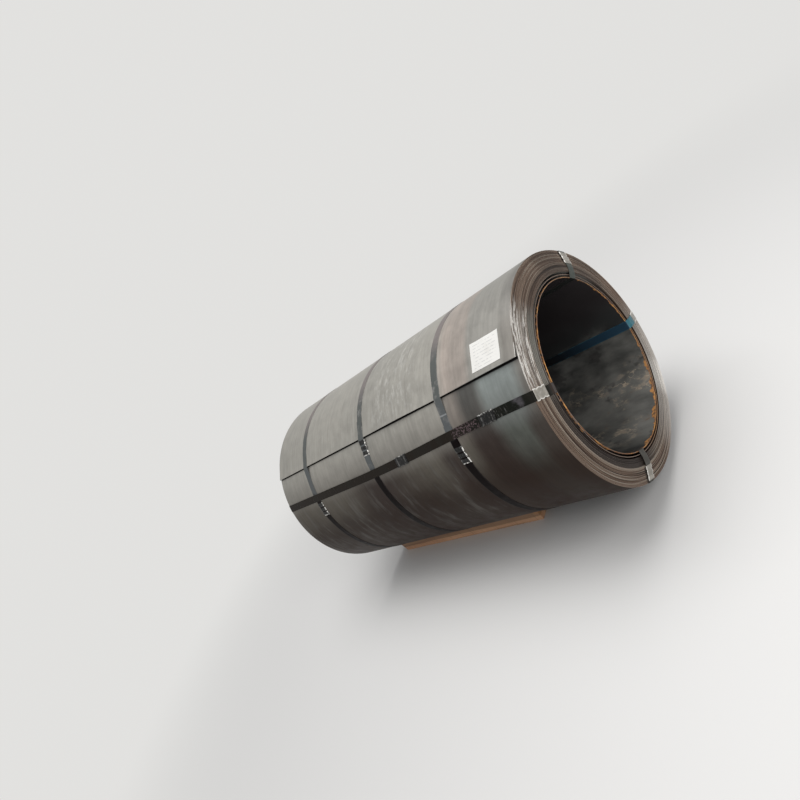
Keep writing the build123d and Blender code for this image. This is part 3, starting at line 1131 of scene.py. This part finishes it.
@dataclass
class WoundStrip:
    """The strip itself, wound from its free inner end in the bore to its tail on the outside."""

    bevel_start: float = 0.0016
    bevel_shoulder: float = 0.0006
    tail_end: float = 18.0
    fine_end: float = 380.0
    coarse_step: float = 2.25
    bore_turns: float = 1.1

    def section(self, cells: int) -> tuple[Array, Array, Array, Array]:
        """The strip's section, once round.

        The rolled faces are flat. Each sheared edge is rolled over at its corners: from the face it drops
        by a tenth and then a third of the sheet, and is full in its middle.

        Args:
            cells: how many cells each rolled face is cut into across its width.

        Returns:
            Place along the width, depth below the outer face, 1 where the next stretch is sheared edge,
            and how deep in the crevice between two turns a point lies, from 0 to 1.
        """
        half = STRIP_WIDTH / 2.0
        face = np.linspace(-half + self.bevel_start, half - self.bevel_start, cells + 1)
        rim = np.array([half - self.bevel_shoulder, half])
        depth = FORM.sheet * np.array([0.10, 0.33])
        width = np.concatenate([-rim[::-1], face, rim, rim[::-1], face[::-1], -rim])
        top = np.concatenate([depth[::-1], np.zeros(cells + 1), depth])
        edge = np.ones(len(width), int)
        crevice = np.zeros(len(width))
        for start in (2, cells + 7):
            edge[start:start + cells] = 0
            crevice[[start - 1, start, start + cells, start + cells + 1]] = 1.0
        return width, np.concatenate([top, FORM.sheet - top[::-1]]), edge, crevice

    def stretch(self, swept: Array, cells: int) -> Surface:
        """One stretch of the strip.

        Each point of the section stands at the strip's radius less its depth, at its place along the
        axis plus how far the turn there has slid.

        Args:
            swept: angles swept from the tail.
            cells: how many cells each rolled face is cut into across its width.

        Returns:
            The stretch as a closed surface.
        """
        width, down, edge, crevice = self.section(cells)
        swept = swept[:, None]
        along = width + (LABELLED_END + REAR_END) / 2.0 + FORM.slide(swept)
        points = around_axis(FORM.radius(swept, along) - down, FORM.tail_angle - swept, along)
        turn = swept / 360.0
        looks = np.where(edge == 1, 1, np.where(turn[:-1] > FORM.inner_end - self.bore_turns, 2, 0))
        return loft(points, looks, 3, turn=turn, crevice=crevice)

    def build(self) -> None:
        """Build the outer turn finely, for its tail and its skin, and the rest with few faces."""
        tail = np.linspace(0.0, self.tail_end, 25)
        outer = np.linspace(self.tail_end, self.fine_end, 160)[1:]
        last = FORM.inner_end * 360.0
        inner = np.linspace(self.fine_end, last, int((last - self.fine_end) / self.coarse_step))
        surface = self.stretch(np.concatenate([tail, outer]), 36).joined(self.stretch(inner, 1))
        paints = [MillScale().paint(), ShearedEdge().paint(), BoreScale().paint(), CutEnd().paint()]
        make_piece("wound_strip", surface, paints, ("coil",), 50.0)


@dataclass(frozen=True)
class Lay:
    """A line that a strap or a seal follows, with unit vectors across it and out of the coil."""

    points: Array
    sideways: Array
    outwards: Array

    def carried(self, across: Array, rise: Array) -> Array:
        """Sections along the line: its point, and the place across and the height along the two vectors."""
        lifted = rise[..., None] * self.outwards[:, None]
        return self.points[:, None] + across[..., None] * self.sideways[:, None] + lifted


@dataclass(frozen=True)
class Band:
    """A flat band with small round corners."""

    width: float = 0.032
    thickness: float = 0.00098
    corner: float = 0.0003
    edge_width: float = 0.003
    flattening: float = 0.00005

    def surface(self, lay: Lay) -> Surface:
        """The band along a line. Its section is a ring in two halves, which carry 1 near the band's edges.

        Args:
            lay: the line on its inner face.

        Returns:
            The closed surface.
        """
        nearly = self.corner * 0.3
        across = np.array([0.0, nearly, self.corner, self.edge_width]) - self.width / 2.0
        across = np.concatenate([across, -across[::-1]])
        rise = np.array([self.thickness / 2.0, self.thickness - nearly, self.thickness, self.thickness])
        rise = np.concatenate([rise, rise[::-1]])
        low = self.thickness - rise
        low[[0, -1]] = self.thickness / 2.0 - self.flattening
        edge = np.array([1.0, 1.0, 1.0, 0.0, 0.0, 1.0, 1.0, 1.0])
        section = np.concatenate([across, across[::-1]]), np.concatenate([rise, low[::-1]])
        return loft(lay.carried(*section), edge=np.concatenate([edge, edge]))


BAND = Band()


@dataclass
class SealMaker:
    """Crimped seals: a sleeve with its edges notched and its top pressed down by the jaws."""

    paint: bpy.types.Material
    length: float = 0.062
    stations: int = 63
    width: float = 0.038
    height: float = 0.0026
    notch: float = 0.0028
    notch_spread: float = 0.0040
    crimp_reach: float = 0.0103
    near_wear: float = 1.0
    far_wear: float = 1.0
    crimp_glint: float = 0.0
    tip_glint: float = 0.0
    tip_length: float = 0.004
    lip: float = 0.0008
    narrowing: float = 0.0004
    rounding: float = 0.0006
    press: float = 0.0009
    clearance: float = 0.00002
    foot: float = 0.0003

    def build(self, name: str, lay: Lay) -> None:
        """Build one seal.

        The half width drops by a V at each crimp. The top's height drops by a V there too, and both ends
        are rounded over the last millimetre.

        Args:
            name: the node it stands for, and the start of its own name.
            lay: the line under it.
        """
        along = np.linspace(-0.5, 0.5, self.stations)[:, None] * self.length
        vee = np.clip(1.0 - np.abs(np.abs(along) - self.crimp_reach) / self.notch_spread, 0.0, 1.0)
        ends = np.clip((self.length / 2.0 - np.abs(along)) / self.lip, 0.0, 1.0)
        half = self.width / 2.0 - self.notch * vee - self.narrowing * (1.0 - ends)
        top = self.height - self.press * vee - self.rounding * (1.0 - ends)
        share = np.array([-1.0, -0.985, -0.93, -0.74, 0.0, 0.74, 0.93, 0.985, 1.0])
        rise = np.array([0.45, 0.86, 1.0, 0.97, 0.95, 0.97, 1.0, 0.86, 0.45])
        under = np.full((self.stations, len(rise)), self.clearance)
        under[:, [0, -1]] = self.foot
        share = np.concatenate([share, share[::-1]])
        points = lay.carried(share * half, np.concatenate([rise * top, under], axis=1))
        # Bright edges, partly wear and partly painted highlight; painted glints on the crimps and the tip.
        rubbed = np.where(share < 0, self.near_wear, self.far_wear) * (np.abs(share) > 0.90)
        tip = (along > self.length / 2.0 - self.tip_length) & (np.abs(share - 0.35) < 0.5)
        worn = np.maximum(rubbed * np.clip(ends + 0.4, 0.0, 1.0), self.crimp_glint * (vee > 0.35))
        surface = loft(points, edge=np.maximum(worn, self.tip_glint * tip))
        make_piece(f"{name}_sleeve", surface, [self.paint], (name,), 28.0)


@dataclass
class HoopStraps:
    """The straps pulled tight round the coil, each lapped over itself at its seal."""

    seal_angles: tuple[float, ...] = (161.0, 138.3, 161.0)
    lap_above: float = 15.0
    lap_below: float = 6.5
    ramp: float = 5.0
    lap_gap: float = 0.00005
    wander: float = 0.0010

    def taut(self, angle: Array) -> Array:
        """Radius of a line pulled tight round the coil at the hoops.

        It follows the wound surface and the tail's straight, but below the tail it is the straight line
        from the tail's corner to the turn below. That line in polar form is
        a b sin(B - A) / (a sin(t - A) + b sin(B - t)), from radius a at angle A to radius b at angle B.

        Args:
            angle: angles about the axis.

        Returns:
            The radii.
        """
        swept = np.mod(FORM.tail_angle - angle, 360.0)
        surface = FORM.wound(swept) + FORM.straight(swept)
        corner = FORM.outer_radius + FORM.tail_lift
        below = FORM.outer_radius - FORM.gauge
        reach = math.degrees(math.acos(below / corner))
        past = np.mod(angle - FORM.tail_angle, 360.0)
        line = corner * sine(past) + below * sine(reach - past) + 1e-12
        line = corner * below * math.sin(math.radians(reach)) / line
        return np.where(past < reach, np.maximum(surface, line), surface)

    def path(self, seal_angle: float) -> tuple[Array, Array]:
        """A hoop's line, from its under end just below the seal round to its lapped end above it.

        Args:
            seal_angle: the angle of the seal's middle.

        Returns:
            Angles, and the radius of the strap's inner face at each.
        """
        start = seal_angle + self.lap_below
        end = seal_angle - 360.0 - self.lap_above
        near_corner = np.arange(FORM.tail_angle + 1.2, FORM.tail_angle - 1.3, -0.2)
        fine = np.concatenate([near_corner, near_corner - 360.0])
        fine = fine[(fine < start) & (fine > end)]
        angle = np.unique(np.concatenate([np.arange(start, end, -1.5), fine, [end]]))[::-1]
        lapped = ease(start - 360.0 + self.ramp - angle, 0.0, self.ramp) * (BAND.thickness + self.lap_gap)
        return angle, self.taut(angle) + lapped

    @staticmethod
    def lay(radius: Array, angle: Array, along: Array) -> Lay:
        """The lay of a line round the coil, whose outward vectors are square to the line and to the axis.

        Args:
            radius: distances from the axis.
            angle: angles about the axis.
            along: places along the axis.

        Returns:
            The lay.
        """
        points = around_axis(radius, angle, along)
        sideways = np.broadcast_to(ALONG_AXIS, points.shape)
        outwards = unit(np.cross(np.gradient(points, axis=0), sideways))
        facing = np.einsum("ij,ij->i", outwards, points - [0.0, 0.0, AXIS_HEIGHT])
        return Lay(points, sideways, outwards * np.sign(facing)[:, None])

    def build(self) -> None:
        """Build the hoops, each wandering a millimetre or so along the axis, and their seals."""
        steel = HoopSteel().paint()
        maker = SealMaker(DarkSeal().paint(), notch=0.0042, notch_spread=0.0062, near_wear=1.8, far_wear=0.2,
                          tip_glint=0.9)
        seal_arc = np.degrees(np.linspace(-0.5, 0.5, maker.stations) * maker.length / FORM.outer_radius)
        for number, (setback, seal_angle) in enumerate(zip(HOOP_SETBACKS, self.seal_angles), 1):
            name = f"hoop_strap_{number}"
            angle, radius = self.path(seal_angle)
            along = LABELLED_END + setback + self.wander * sine(angle * 1.5 + 60.0 * number)
            surface = BAND.surface(self.lay(radius, angle, along))
            make_piece(f"{name}_band", surface, [steel], (name,))
            angle = seal_angle + seal_arc
            maker.build(f"hoop_seal_{number}", self.lay(self.taut(angle), angle, LABELLED_END + setback))


@dataclass(frozen=True)
class EyeRun:
    """One eye strap: its angles in the bore and on the labelled end, its outside drift, and its finish."""

    name: str
    bore_angle: float
    end_angle: float
    drift: float
    steel: StrapSteel | BlackStrap


@dataclass
class EyeStraps:
    """The straps along the outside and back through the bore, sealed on the labelled end."""

    seal_inset: float = 0.006
    seal_length: float = 0.048
    clearance: float = 0.00005
    corner: float = 0.0012
    bore_radius: float = 0.305
    stand_outs: tuple[tuple[float, float], ...] = ((0.347, 0.013), (0.326, 0.013), (0.308, 0.009))
    lap: float = 0.015
    hoop_half: float = 0.016
    every: float = 0.004
    splice_setbacks: tuple[float, ...] = (0.180, 0.620)
    crumple: Bell = (0.0005, 0.278, 0.060)

    def runs(self) -> list[EyeRun]:
        """The four straps with their own colours.

        Returns:
            The straps, from the near one clockwise as seen from the labelled end.
        """
        green = StrapSteel("strap_green", base=(0.048, 0.058, 0.050), worn=(0.12, 0.12, 0.11),
                           bore=(0.020, 0.022, 0.020), roughness=0.42)
        teal = StrapSteel("strap_teal", base=(0.016, 0.125, 0.165), worn=(0.06, 0.22, 0.27),
                          bore=(0.024, 0.060, 0.098), roughness=0.34, metallic=0.25)
        brown = StrapSteel("strap_brown", base=(0.050, 0.047, 0.040), worn=(0.15, 0.13, 0.11),
                           bore=(0.035, 0.03, 0.026), roughness=0.45)
        return [
            EyeRun("near", 150.2, 149.5, 3.6, BlackStrap()),
            EyeRun("top", 44.5, 44.5, 0.0, green),
            EyeRun("far", -16.0, -16.0, 0.0, teal),
            EyeRun("bottom", -124.5, -124.5, 0.0, brown),
        ]

    def outside(self, angle: float) -> float:
        """Radius of the strap's inner face on the outside of the coil."""
        return float(FORM.wound(np.mod(FORM.tail_angle - angle, 360.0))) + self.clearance

    def on_slope(self, outside: float, radius: float) -> float:
        """Place along the axis of the strap's straight stretch down the labelled end's slope, at a radius."""
        foot, reach = self.stand_outs[0]
        return LABELLED_END - self.clearance - reach * (outside - radius) / (outside - foot)

    def loop(self, angle: float) -> Array:
        """The strap's line in the plane of radius and axis, from its seal out and back through the bore.

        It is a polygon round the wall and over the hoops with its corners rounded: near a corner the line
        is a curve whose ends lie one corner's length off along each side, weighted by (1-s)^2, 2s(1-s)
        and s^2.

        Args:
            angle: the strap's angle on the labelled end.

        Returns:
            Radius and place along the axis of each point, evenly spaced between corners.
        """
        outside = self.outside(angle)
        lifted = outside + BAND.thickness
        inside = self.bore_radius - self.clearance
        front, rear = LABELLED_END - self.clearance, REAR_END + self.clearance
        start = outside - self.seal_inset - self.seal_length / 2.0 - self.lap
        lap = [start, self.on_slope(outside, start)]
        rim = [[radius, front - reach] for radius, reach in self.stand_outs[::-1]]
        last_reach = self.stand_outs[-1][1]
        corners = np.array([
            lap,
            [outside, front],
            [lifted, LABELLED_END + HOOP_SETBACKS[0] - self.hoop_half],
            [lifted, LABELLED_END + HOOP_SETBACKS[-1] + self.hoop_half],
            [outside, rear],
            [inside, rear - last_reach],
            [inside, front - last_reach],
            *rim,
            lap,
        ])
        share = np.linspace(0.0, 1.0, 9)[:, None]
        pieces = [corners[:1]]
        for before, corner, after in zip(corners, corners[1:], corners[2:]):
            sides = np.stack([before, after]) - corner
            reach = np.minimum(self.corner, 0.4 * np.linalg.norm(sides, axis=1, keepdims=True))
            first, last = corner + unit(sides) * reach
            pieces.append(first * (1 - share) ** 2 + corner * 2 * share * (1 - share) + last * share**2)
        line = np.concatenate([*pieces, corners[-1:]])
        length = np.concatenate([[0.0], np.cumsum(np.linalg.norm(np.diff(line, axis=0), axis=1))])
        stations = np.unique(np.concatenate([length, np.arange(0.0, length[-1], self.every)]).round(6))
        return np.stack([np.interp(stations, length, line[:, axis]) for axis in (0, 1)], axis=-1)

    def turned(self, run: EyeRun, line: Array) -> Array:
        """The strap's angle along its line: it drifts outside, and takes up the bore's angle at the rim."""
        drift = run.drift * ease(line[:, 1] - LABELLED_END, 0.0, 0.9)
        return run.bore_angle + ease(line[:, 0], 0.34, 0.40) * (run.end_angle + drift - run.bore_angle)

    @staticmethod
    def lay(line: Array, angle: Array, normal: Array) -> Lay:
        """The lay of a line along the coil.

        Args:
            line: radius and place along the axis of each point.
            angle: its angle at each.
            normal: unit vectors out of the coil, as their parts along the radius and along the axis.

        Returns:
            The lay, across which lies a quarter turn on from the angle.
        """
        outwards = normal[..., :1] * outward(angle) + normal[..., 1:] * ALONG_AXIS
        return Lay(around_axis(line[:, 0], angle, line[:, 1]), outward(angle + 90.0), outwards)

    def build_strap(self, run: EyeRun) -> None:
        """Build one strap, lapped under its seal; the near one is crumpled over a short stretch.

        Args:
            run: the strap.
        """
        line = self.loop(run.end_angle)
        angle = self.turned(run, line)
        forward = np.gradient(line, axis=0)
        normal = unit(np.stack([forward[:, 1], -forward[:, 0]], axis=-1))
        if isinstance(run.steel, BlackStrap):
            depth, middle, spread = self.crumple
            setback = line[:, 1] - LABELLED_END
            share = bump_at(setback, middle, spread) * ease(line[:, 0], 0.40, 0.41)
            line[:, 0] += depth * share * (1.0 + sine(setback * 24000.0) * cosine(setback * 7100.0))
        surface = BAND.surface(self.lay(line, angle, normal))
        name = f"eye_strap_{run.name}"
        make_piece(f"{name}_band", surface, [run.steel.paint()], (name,))

    def build_seal(self, run: EyeRun, maker: SealMaker) -> None:
        """Build a strap's seal, tilted as the strap lies on the labelled end's slope.

        Args:
            run: the strap.
            maker: the maker of its seals.
        """
        outside = self.outside(run.end_angle)
        middle = outside - self.clearance - self.seal_inset - self.seal_length / 2.0
        foot, reach = self.stand_outs[0]
        way = unit(np.array([foot - outside, -reach]))
        off = np.linspace(-0.5, 0.5, maker.stations)[:, None] * maker.length
        line = np.array([middle, self.on_slope(outside, middle)]) + way * off
        normal = np.array([-way[1], way[0]])
        maker.build(f"eye_seal_{run.name}", self.lay(line, np.full(maker.stations, run.end_angle), normal))

    def build_splice(self, run: EyeRun, number: int, setback: float, maker: SealMaker) -> None:
        """Build a sleeve on the near strap's outside run, along the strap's own drift.

        Args:
            run: the strap.
            number: the sleeve's number.
            setback: its place from the labelled end.
            maker: the maker of the sleeves.
        """
        along = setback + np.linspace(-0.5, 0.5, maker.stations) * maker.length
        lift = BAND.thickness * np.minimum(along / (HOOP_SETBACKS[0] - self.hoop_half), 1.0)
        line = np.stack([self.outside(run.end_angle) + lift, LABELLED_END + along], axis=-1)
        maker.build(f"strap_splice_{number}", self.lay(line, self.turned(run, line), np.array([1.0, 0.0])))

    def build(self) -> None:
        """Build the four straps, their seals and the near strap's two splices."""
        maker = SealMaker(Zinc().paint(), self.seal_length, 49, notch=0.0036, notch_spread=0.0052,
                          crimp_reach=0.009)
        sleeve = SealMaker(DarkSeal().paint(), height=0.0032, crimp_reach=0.0198, near_wear=0.5, far_wear=0.1,
                           crimp_glint=0.10)
        runs = self.runs()
        for run in runs:
            self.build_strap(run)
            self.build_seal(run, maker)
        for number, setback in enumerate(self.splice_setbacks, 1):
            self.build_splice(runs[0], number, setback, sleeve)


@dataclass
class Label:
    """The paper label pasted on the tail's end of the outer turn, with its corners a little up."""

    width: float = 0.117
    height: float = 0.097
    setback: float = 0.053
    margin: float = 0.018
    paper: float = 0.0003
    curl: float = 0.0012
    clearance: float = 0.00008
    cockle: float = 0.00015

    def build(self) -> None:
        """Build the sheet as two skins a paper's thickness apart, a fixed way above the strip's face.

        The corners rise with the fourth power of the distance from the sheet's middle.
        """
        down = np.linspace(0.0, 1.0, 25)[:, None]
        over = np.linspace(0.0, 1.0, 25)
        straight = FORM.outer_radius * math.tan(math.radians(FORM.spring))
        past = (self.margin + self.height * (1.0 - down) - straight) / FORM.outer_radius
        swept = FORM.spring + np.degrees(np.where(past < 0.0, np.arctan(past), past))
        corner = (2.0 * down - 1.0) ** 4 * (2.0 * over - 1.0) ** 4
        lift = self.clearance + self.curl * corner + self.cockle * (1 + sine(900.0 * over + 200.0 * down))
        along = LABELLED_END + self.setback + self.width * over
        face = FORM.radius(swept, along) + lift
        top, bottom = (around_axis(face + rise, FORM.tail_angle - swept, along) for rise in (self.paper, 0.0))
        sections = np.concatenate([top, bottom[:, ::-1]], axis=1)
        surface = loft(sections, down=down, over=np.concatenate([over, over[::-1]]))
        make_piece("label_sheet", surface, [Paper().paint()], ("label",), 60.0)


@dataclass
class Timbers:
    """The two sawn timbers, rough on every face but the bevel that the coil sits on."""

    width: float = 0.070
    round_off: float = 0.0015
    seat_width: float = 0.020
    seat_drop: float = 0.0060
    rough: float = 0.0009
    end_round: float = 0.0012
    hoop_half: float = 0.0163
    relief: float = 0.0013
    chip_reach: float = 0.022
    chip_spread: float = 0.020
    chip_depth: float = 0.013

    def ring(self, top: float, inner_x: float, away: float) -> tuple[Array, Array]:
        """The timber's section as a ring in two halves: its top, inside to outside, and its foot back.

        Args:
            top: height of its top.
            inner_x: place of its inner side.
            away: -1 or 1, the way from there to its outer side.

        Returns:
            X and Z of each point, and 1 where the point lies on the seat.
        """
        flat = [self.seat_width, 0.034, 0.048, 0.060, self.width - self.round_off]
        top_x = [0.0, 0.0, self.round_off, *flat, self.width]
        foot_x = [self.width, *flat[::-1], self.round_off, 0.0, 0.0]
        bevel = self.seat_drop * (1.0 - self.round_off / self.seat_width)
        drops = [0.032, self.seat_drop + self.round_off, bevel, 0.0, 0.0, 0.0, 0.0, 0.0, self.round_off]
        foot_z = [0.030, 0.0, 0.0, 0.0, 0.0, 0.0, 0.0, self.round_off, 0.016]
        seat = np.zeros(len(top_x) + len(foot_x))
        seat[2:4] = 1.0
        height = np.concatenate([top - np.array(drops), foot_z])
        return np.stack([inner_x + away * np.array(top_x + foot_x), height], axis=-1), seat

    def build_timber(self, node: str, inner_is_high: bool, seed: int, paint: bpy.types.Material) -> None:
        """Build one timber.

        Each point goes in towards the timber's middle line by a seeded random depth, less on the seat,
        and a corner of the front end is broken away over a few centimetres.

        Args:
            node: the node it stands for.
            inner_is_high: whether its inner side is the one with the higher x.
            seed: seed of its random numbers.
            paint: its material.
        """
        low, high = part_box(node)
        ring, seat = self.ring(high.z, high.x if inner_is_high else low.x, -1.0 if inner_is_high else 1.0)
        hoops = LABELLED_END + np.array(HOOP_SETBACKS)
        cuts = np.concatenate([hoops - self.hoop_half, hoops + self.hoop_half])
        cuts = cuts[(cuts > low.y) & (cuts < high.y)]
        ends = [low.y, low.y + self.end_round, high.y - self.end_round, high.y]
        body = np.linspace(low.y + 0.006, high.y - 0.006, 150)
        along = np.unique(np.concatenate([body, ends, cuts]))[:, None]
        rng = np.random.default_rng(seed)
        depth = rng.random((len(along), len(ring))) * self.rough * (1.0 - seat)
        depth += self.end_round * (np.minimum(along - low.y, high.y - along) < self.end_round / 2.0)
        off_corner = ((ring - [ring[8, 0], high.z]) ** 2).sum(axis=-1)
        chip = ease(low.y - along, -self.chip_reach, 0.0) * np.exp(-off_corner / self.chip_spread**2)
        depth += self.chip_depth * chip * (0.8 + 0.4 * rng.random(chip.shape))
        inwards = unit(np.array([(low.x + high.x) / 2.0, high.z / 2.0]) - ring)
        x, z = np.moveaxis(ring + inwards * depth[..., None], -1, 0)
        pressed = (np.abs(along - hoops) < self.hoop_half + 0.00005).any(axis=1)[:, None]
        z = z - pressed * seat * self.relief
        points = np.stack([x, np.broadcast_to(along, x.shape), z], axis=-1)
        surface = loft(points, broken=np.clip(chip * 2.5, 0.0, 1.0))
        make_piece(f"{node}_sawn", surface, [paint], (node,), 30.0)

    def build(self) -> None:
        """Build both timbers."""
        wood = SawnTimber().paint()
        self.build_timber("timber_near", True, 7, wood)
        self.build_timber("timber_far", False, 11, wood)


@dataclass
class Studio:
    """A plain pale floor that fades into a pale background, soft light from above, and the camera."""

    floor_rings: tuple[float, ...] = (2.0, 6.0, 30.0)
    floor_sides: int = 96
    floor_grey: Colour = (0.80, 0.79, 0.775)
    backdrop: Colour = (0.76, 0.755, 0.74)
    sky: Colour = (0.62, 0.63, 0.64)
    sky_strength: float = 0.50
    lamp_target: Place = (0.0, 0.0, 0.45)
    camera_place: Place = (-1.45397, -1.64956, 1.35873)
    camera_bearing: float = 39.746
    camera_pitch: float = -17.242
    camera_roll: float = 48.110
    lens: float = 25.118
    optical_axis_below_centre: float = 9.0
    frame_pixels: float = 800.0

    def build_floor(self) -> None:
        """The floor: a disc whose finish turns into the background's own colour well away from the part."""
        angle = np.linspace(0.0, 360.0, self.floor_sides, endpoint=False)
        circle = np.stack([cosine(angle), sine(angle), np.zeros(self.floor_sides)], axis=-1)
        points = np.array(self.floor_rings)[:, None, None] * circle
        index = np.arange(points[..., 0].size).reshape(points.shape[:2])
        here, ahead = index[:-1], index[1:]
        quads = np.stack([here, ahead, np.roll(ahead, -1, 1), np.roll(here, -1, 1)], axis=-1)
        mesh = bpy.data.meshes.new("floor")
        faces = quads.reshape(-1, 4).tolist() + [index[0].tolist()]
        mesh.from_pydata(points.reshape(-1, 3).tolist(), [], faces)
        mesh.materials.append(self.floor_paint())
        floor = bpy.data.objects.new("floor", mesh)
        bpy.context.scene.collection.objects.link(floor)

    def floor_paint(self) -> bpy.types.Material:
        """A matt pale grey that fades into plain background colour with distance.

        Returns:
            The material.
        """
        graph = Graph("floor")
        distance = graph.signal("VectorMath", {0: graph.place}, "Value", operation="LENGTH")
        matt = graph.signal("BsdfPrincipled", {"Base Color": graph.full(self.floor_grey), "Roughness": 0.9})
        glow = graph.signal("Emission", {"Color": graph.full(self.backdrop), "Strength": 1.0})
        mixed = graph.signal("MixShader", {0: distance.step(1.2, 3.5), 1: matt, 2: glow})
        graph.add("OutputMaterial", {"Surface": mixed})
        return graph.block

    def build_world(self) -> None:
        """A pale background for the camera and for reflections, and a dimmer even sky for the light."""
        graph = Graph("studio", "worlds")
        path = graph.add("LightPath", {}).outputs
        rays = ("Camera", "Glossy", "Transmission")
        camera, glossy, through = (Signal(graph, path[f"Is {ray} Ray"]) for ray in rays)
        seen = graph.math("MAXIMUM", graph.math("MAXIMUM", camera, glossy), through)
        light = graph.signal("Background", {"Color": graph.full(self.sky), "Strength": self.sky_strength})
        shown = graph.signal("Background", {"Color": graph.full(self.backdrop)})
        graph.add("OutputWorld", {"Surface": graph.signal("MixShader", {0: seen, 1: light, 2: shown})})
        bpy.context.scene.world = graph.block

    def build_lamp(self, name: str, place: Place, size: float, watts: float) -> None:
        """Build one soft square lamp, turned to the middle of the part.

        Args:
            name: its name.
            place: where it hangs.
            size: its side.
            watts: its power.
        """
        lamp = bpy.data.lights.new(name, "AREA")
        lamp.shape = "SQUARE"
        lamp.size = size
        lamp.energy = watts
        holder = bpy.data.objects.new(name, lamp)
        holder.location = place
        holder.rotation_euler = (Vector(self.lamp_target) - Vector(place)).to_track_quat("-Z", "Y").to_euler()
        bpy.context.scene.collection.objects.link(holder)

    def build_camera(self) -> None:
        """The camera: bearing from +Y to +X, pitch above the level, roll clockwise, and a small shift."""
        angles = self.camera_bearing, self.camera_pitch, self.camera_roll
        bearing, pitch, roll = (math.radians(angle) for angle in angles)
        flat = math.cos(pitch)
        forward = Vector((math.sin(bearing) * flat, math.cos(bearing) * flat, math.sin(pitch)))
        level = Vector((math.cos(bearing), -math.sin(bearing), 0.0))
        above = level.cross(forward)
        right = level * math.cos(roll) - above * math.sin(roll)
        up = above * math.cos(roll) + level * math.sin(roll)
        camera = bpy.data.cameras.new("camera")
        camera.sensor_width = 36.0
        camera.lens = self.lens
        camera.shift_y = self.optical_axis_below_centre / self.frame_pixels
        holder = bpy.data.objects.new("camera", camera)
        turned = Matrix((right, up, -forward)).transposed().to_4x4()
        holder.matrix_world = Matrix.Translation(self.camera_place) @ turned
        bpy.context.scene.collection.objects.link(holder)
        bpy.context.scene.camera = holder

    def build(self) -> None:
        """Build the stage and set how colours are shown."""
        self.build_floor()
        self.build_world()
        self.build_lamp("lamp_above", (0.5, -0.5, 6.0), 4.5, 225.0)
        self.build_lamp("lamp_front", (-1.2, -3.4, 2.2), 1.8, 54.0)
        self.build_camera()
        bpy.context.scene.view_settings.view_transform = "Standard"


def main() -> None:
    """Build the camera and stage, then each sub-assembly."""
    logging.basicConfig(level=logging.INFO, format="%(name)s %(message)s")
    Studio().build()
    WoundStrip().build()
    HoopStraps().build()
    EyeStraps().build()
    Label().build()
    Timbers().build()


if __name__ == "__main__":
    main()
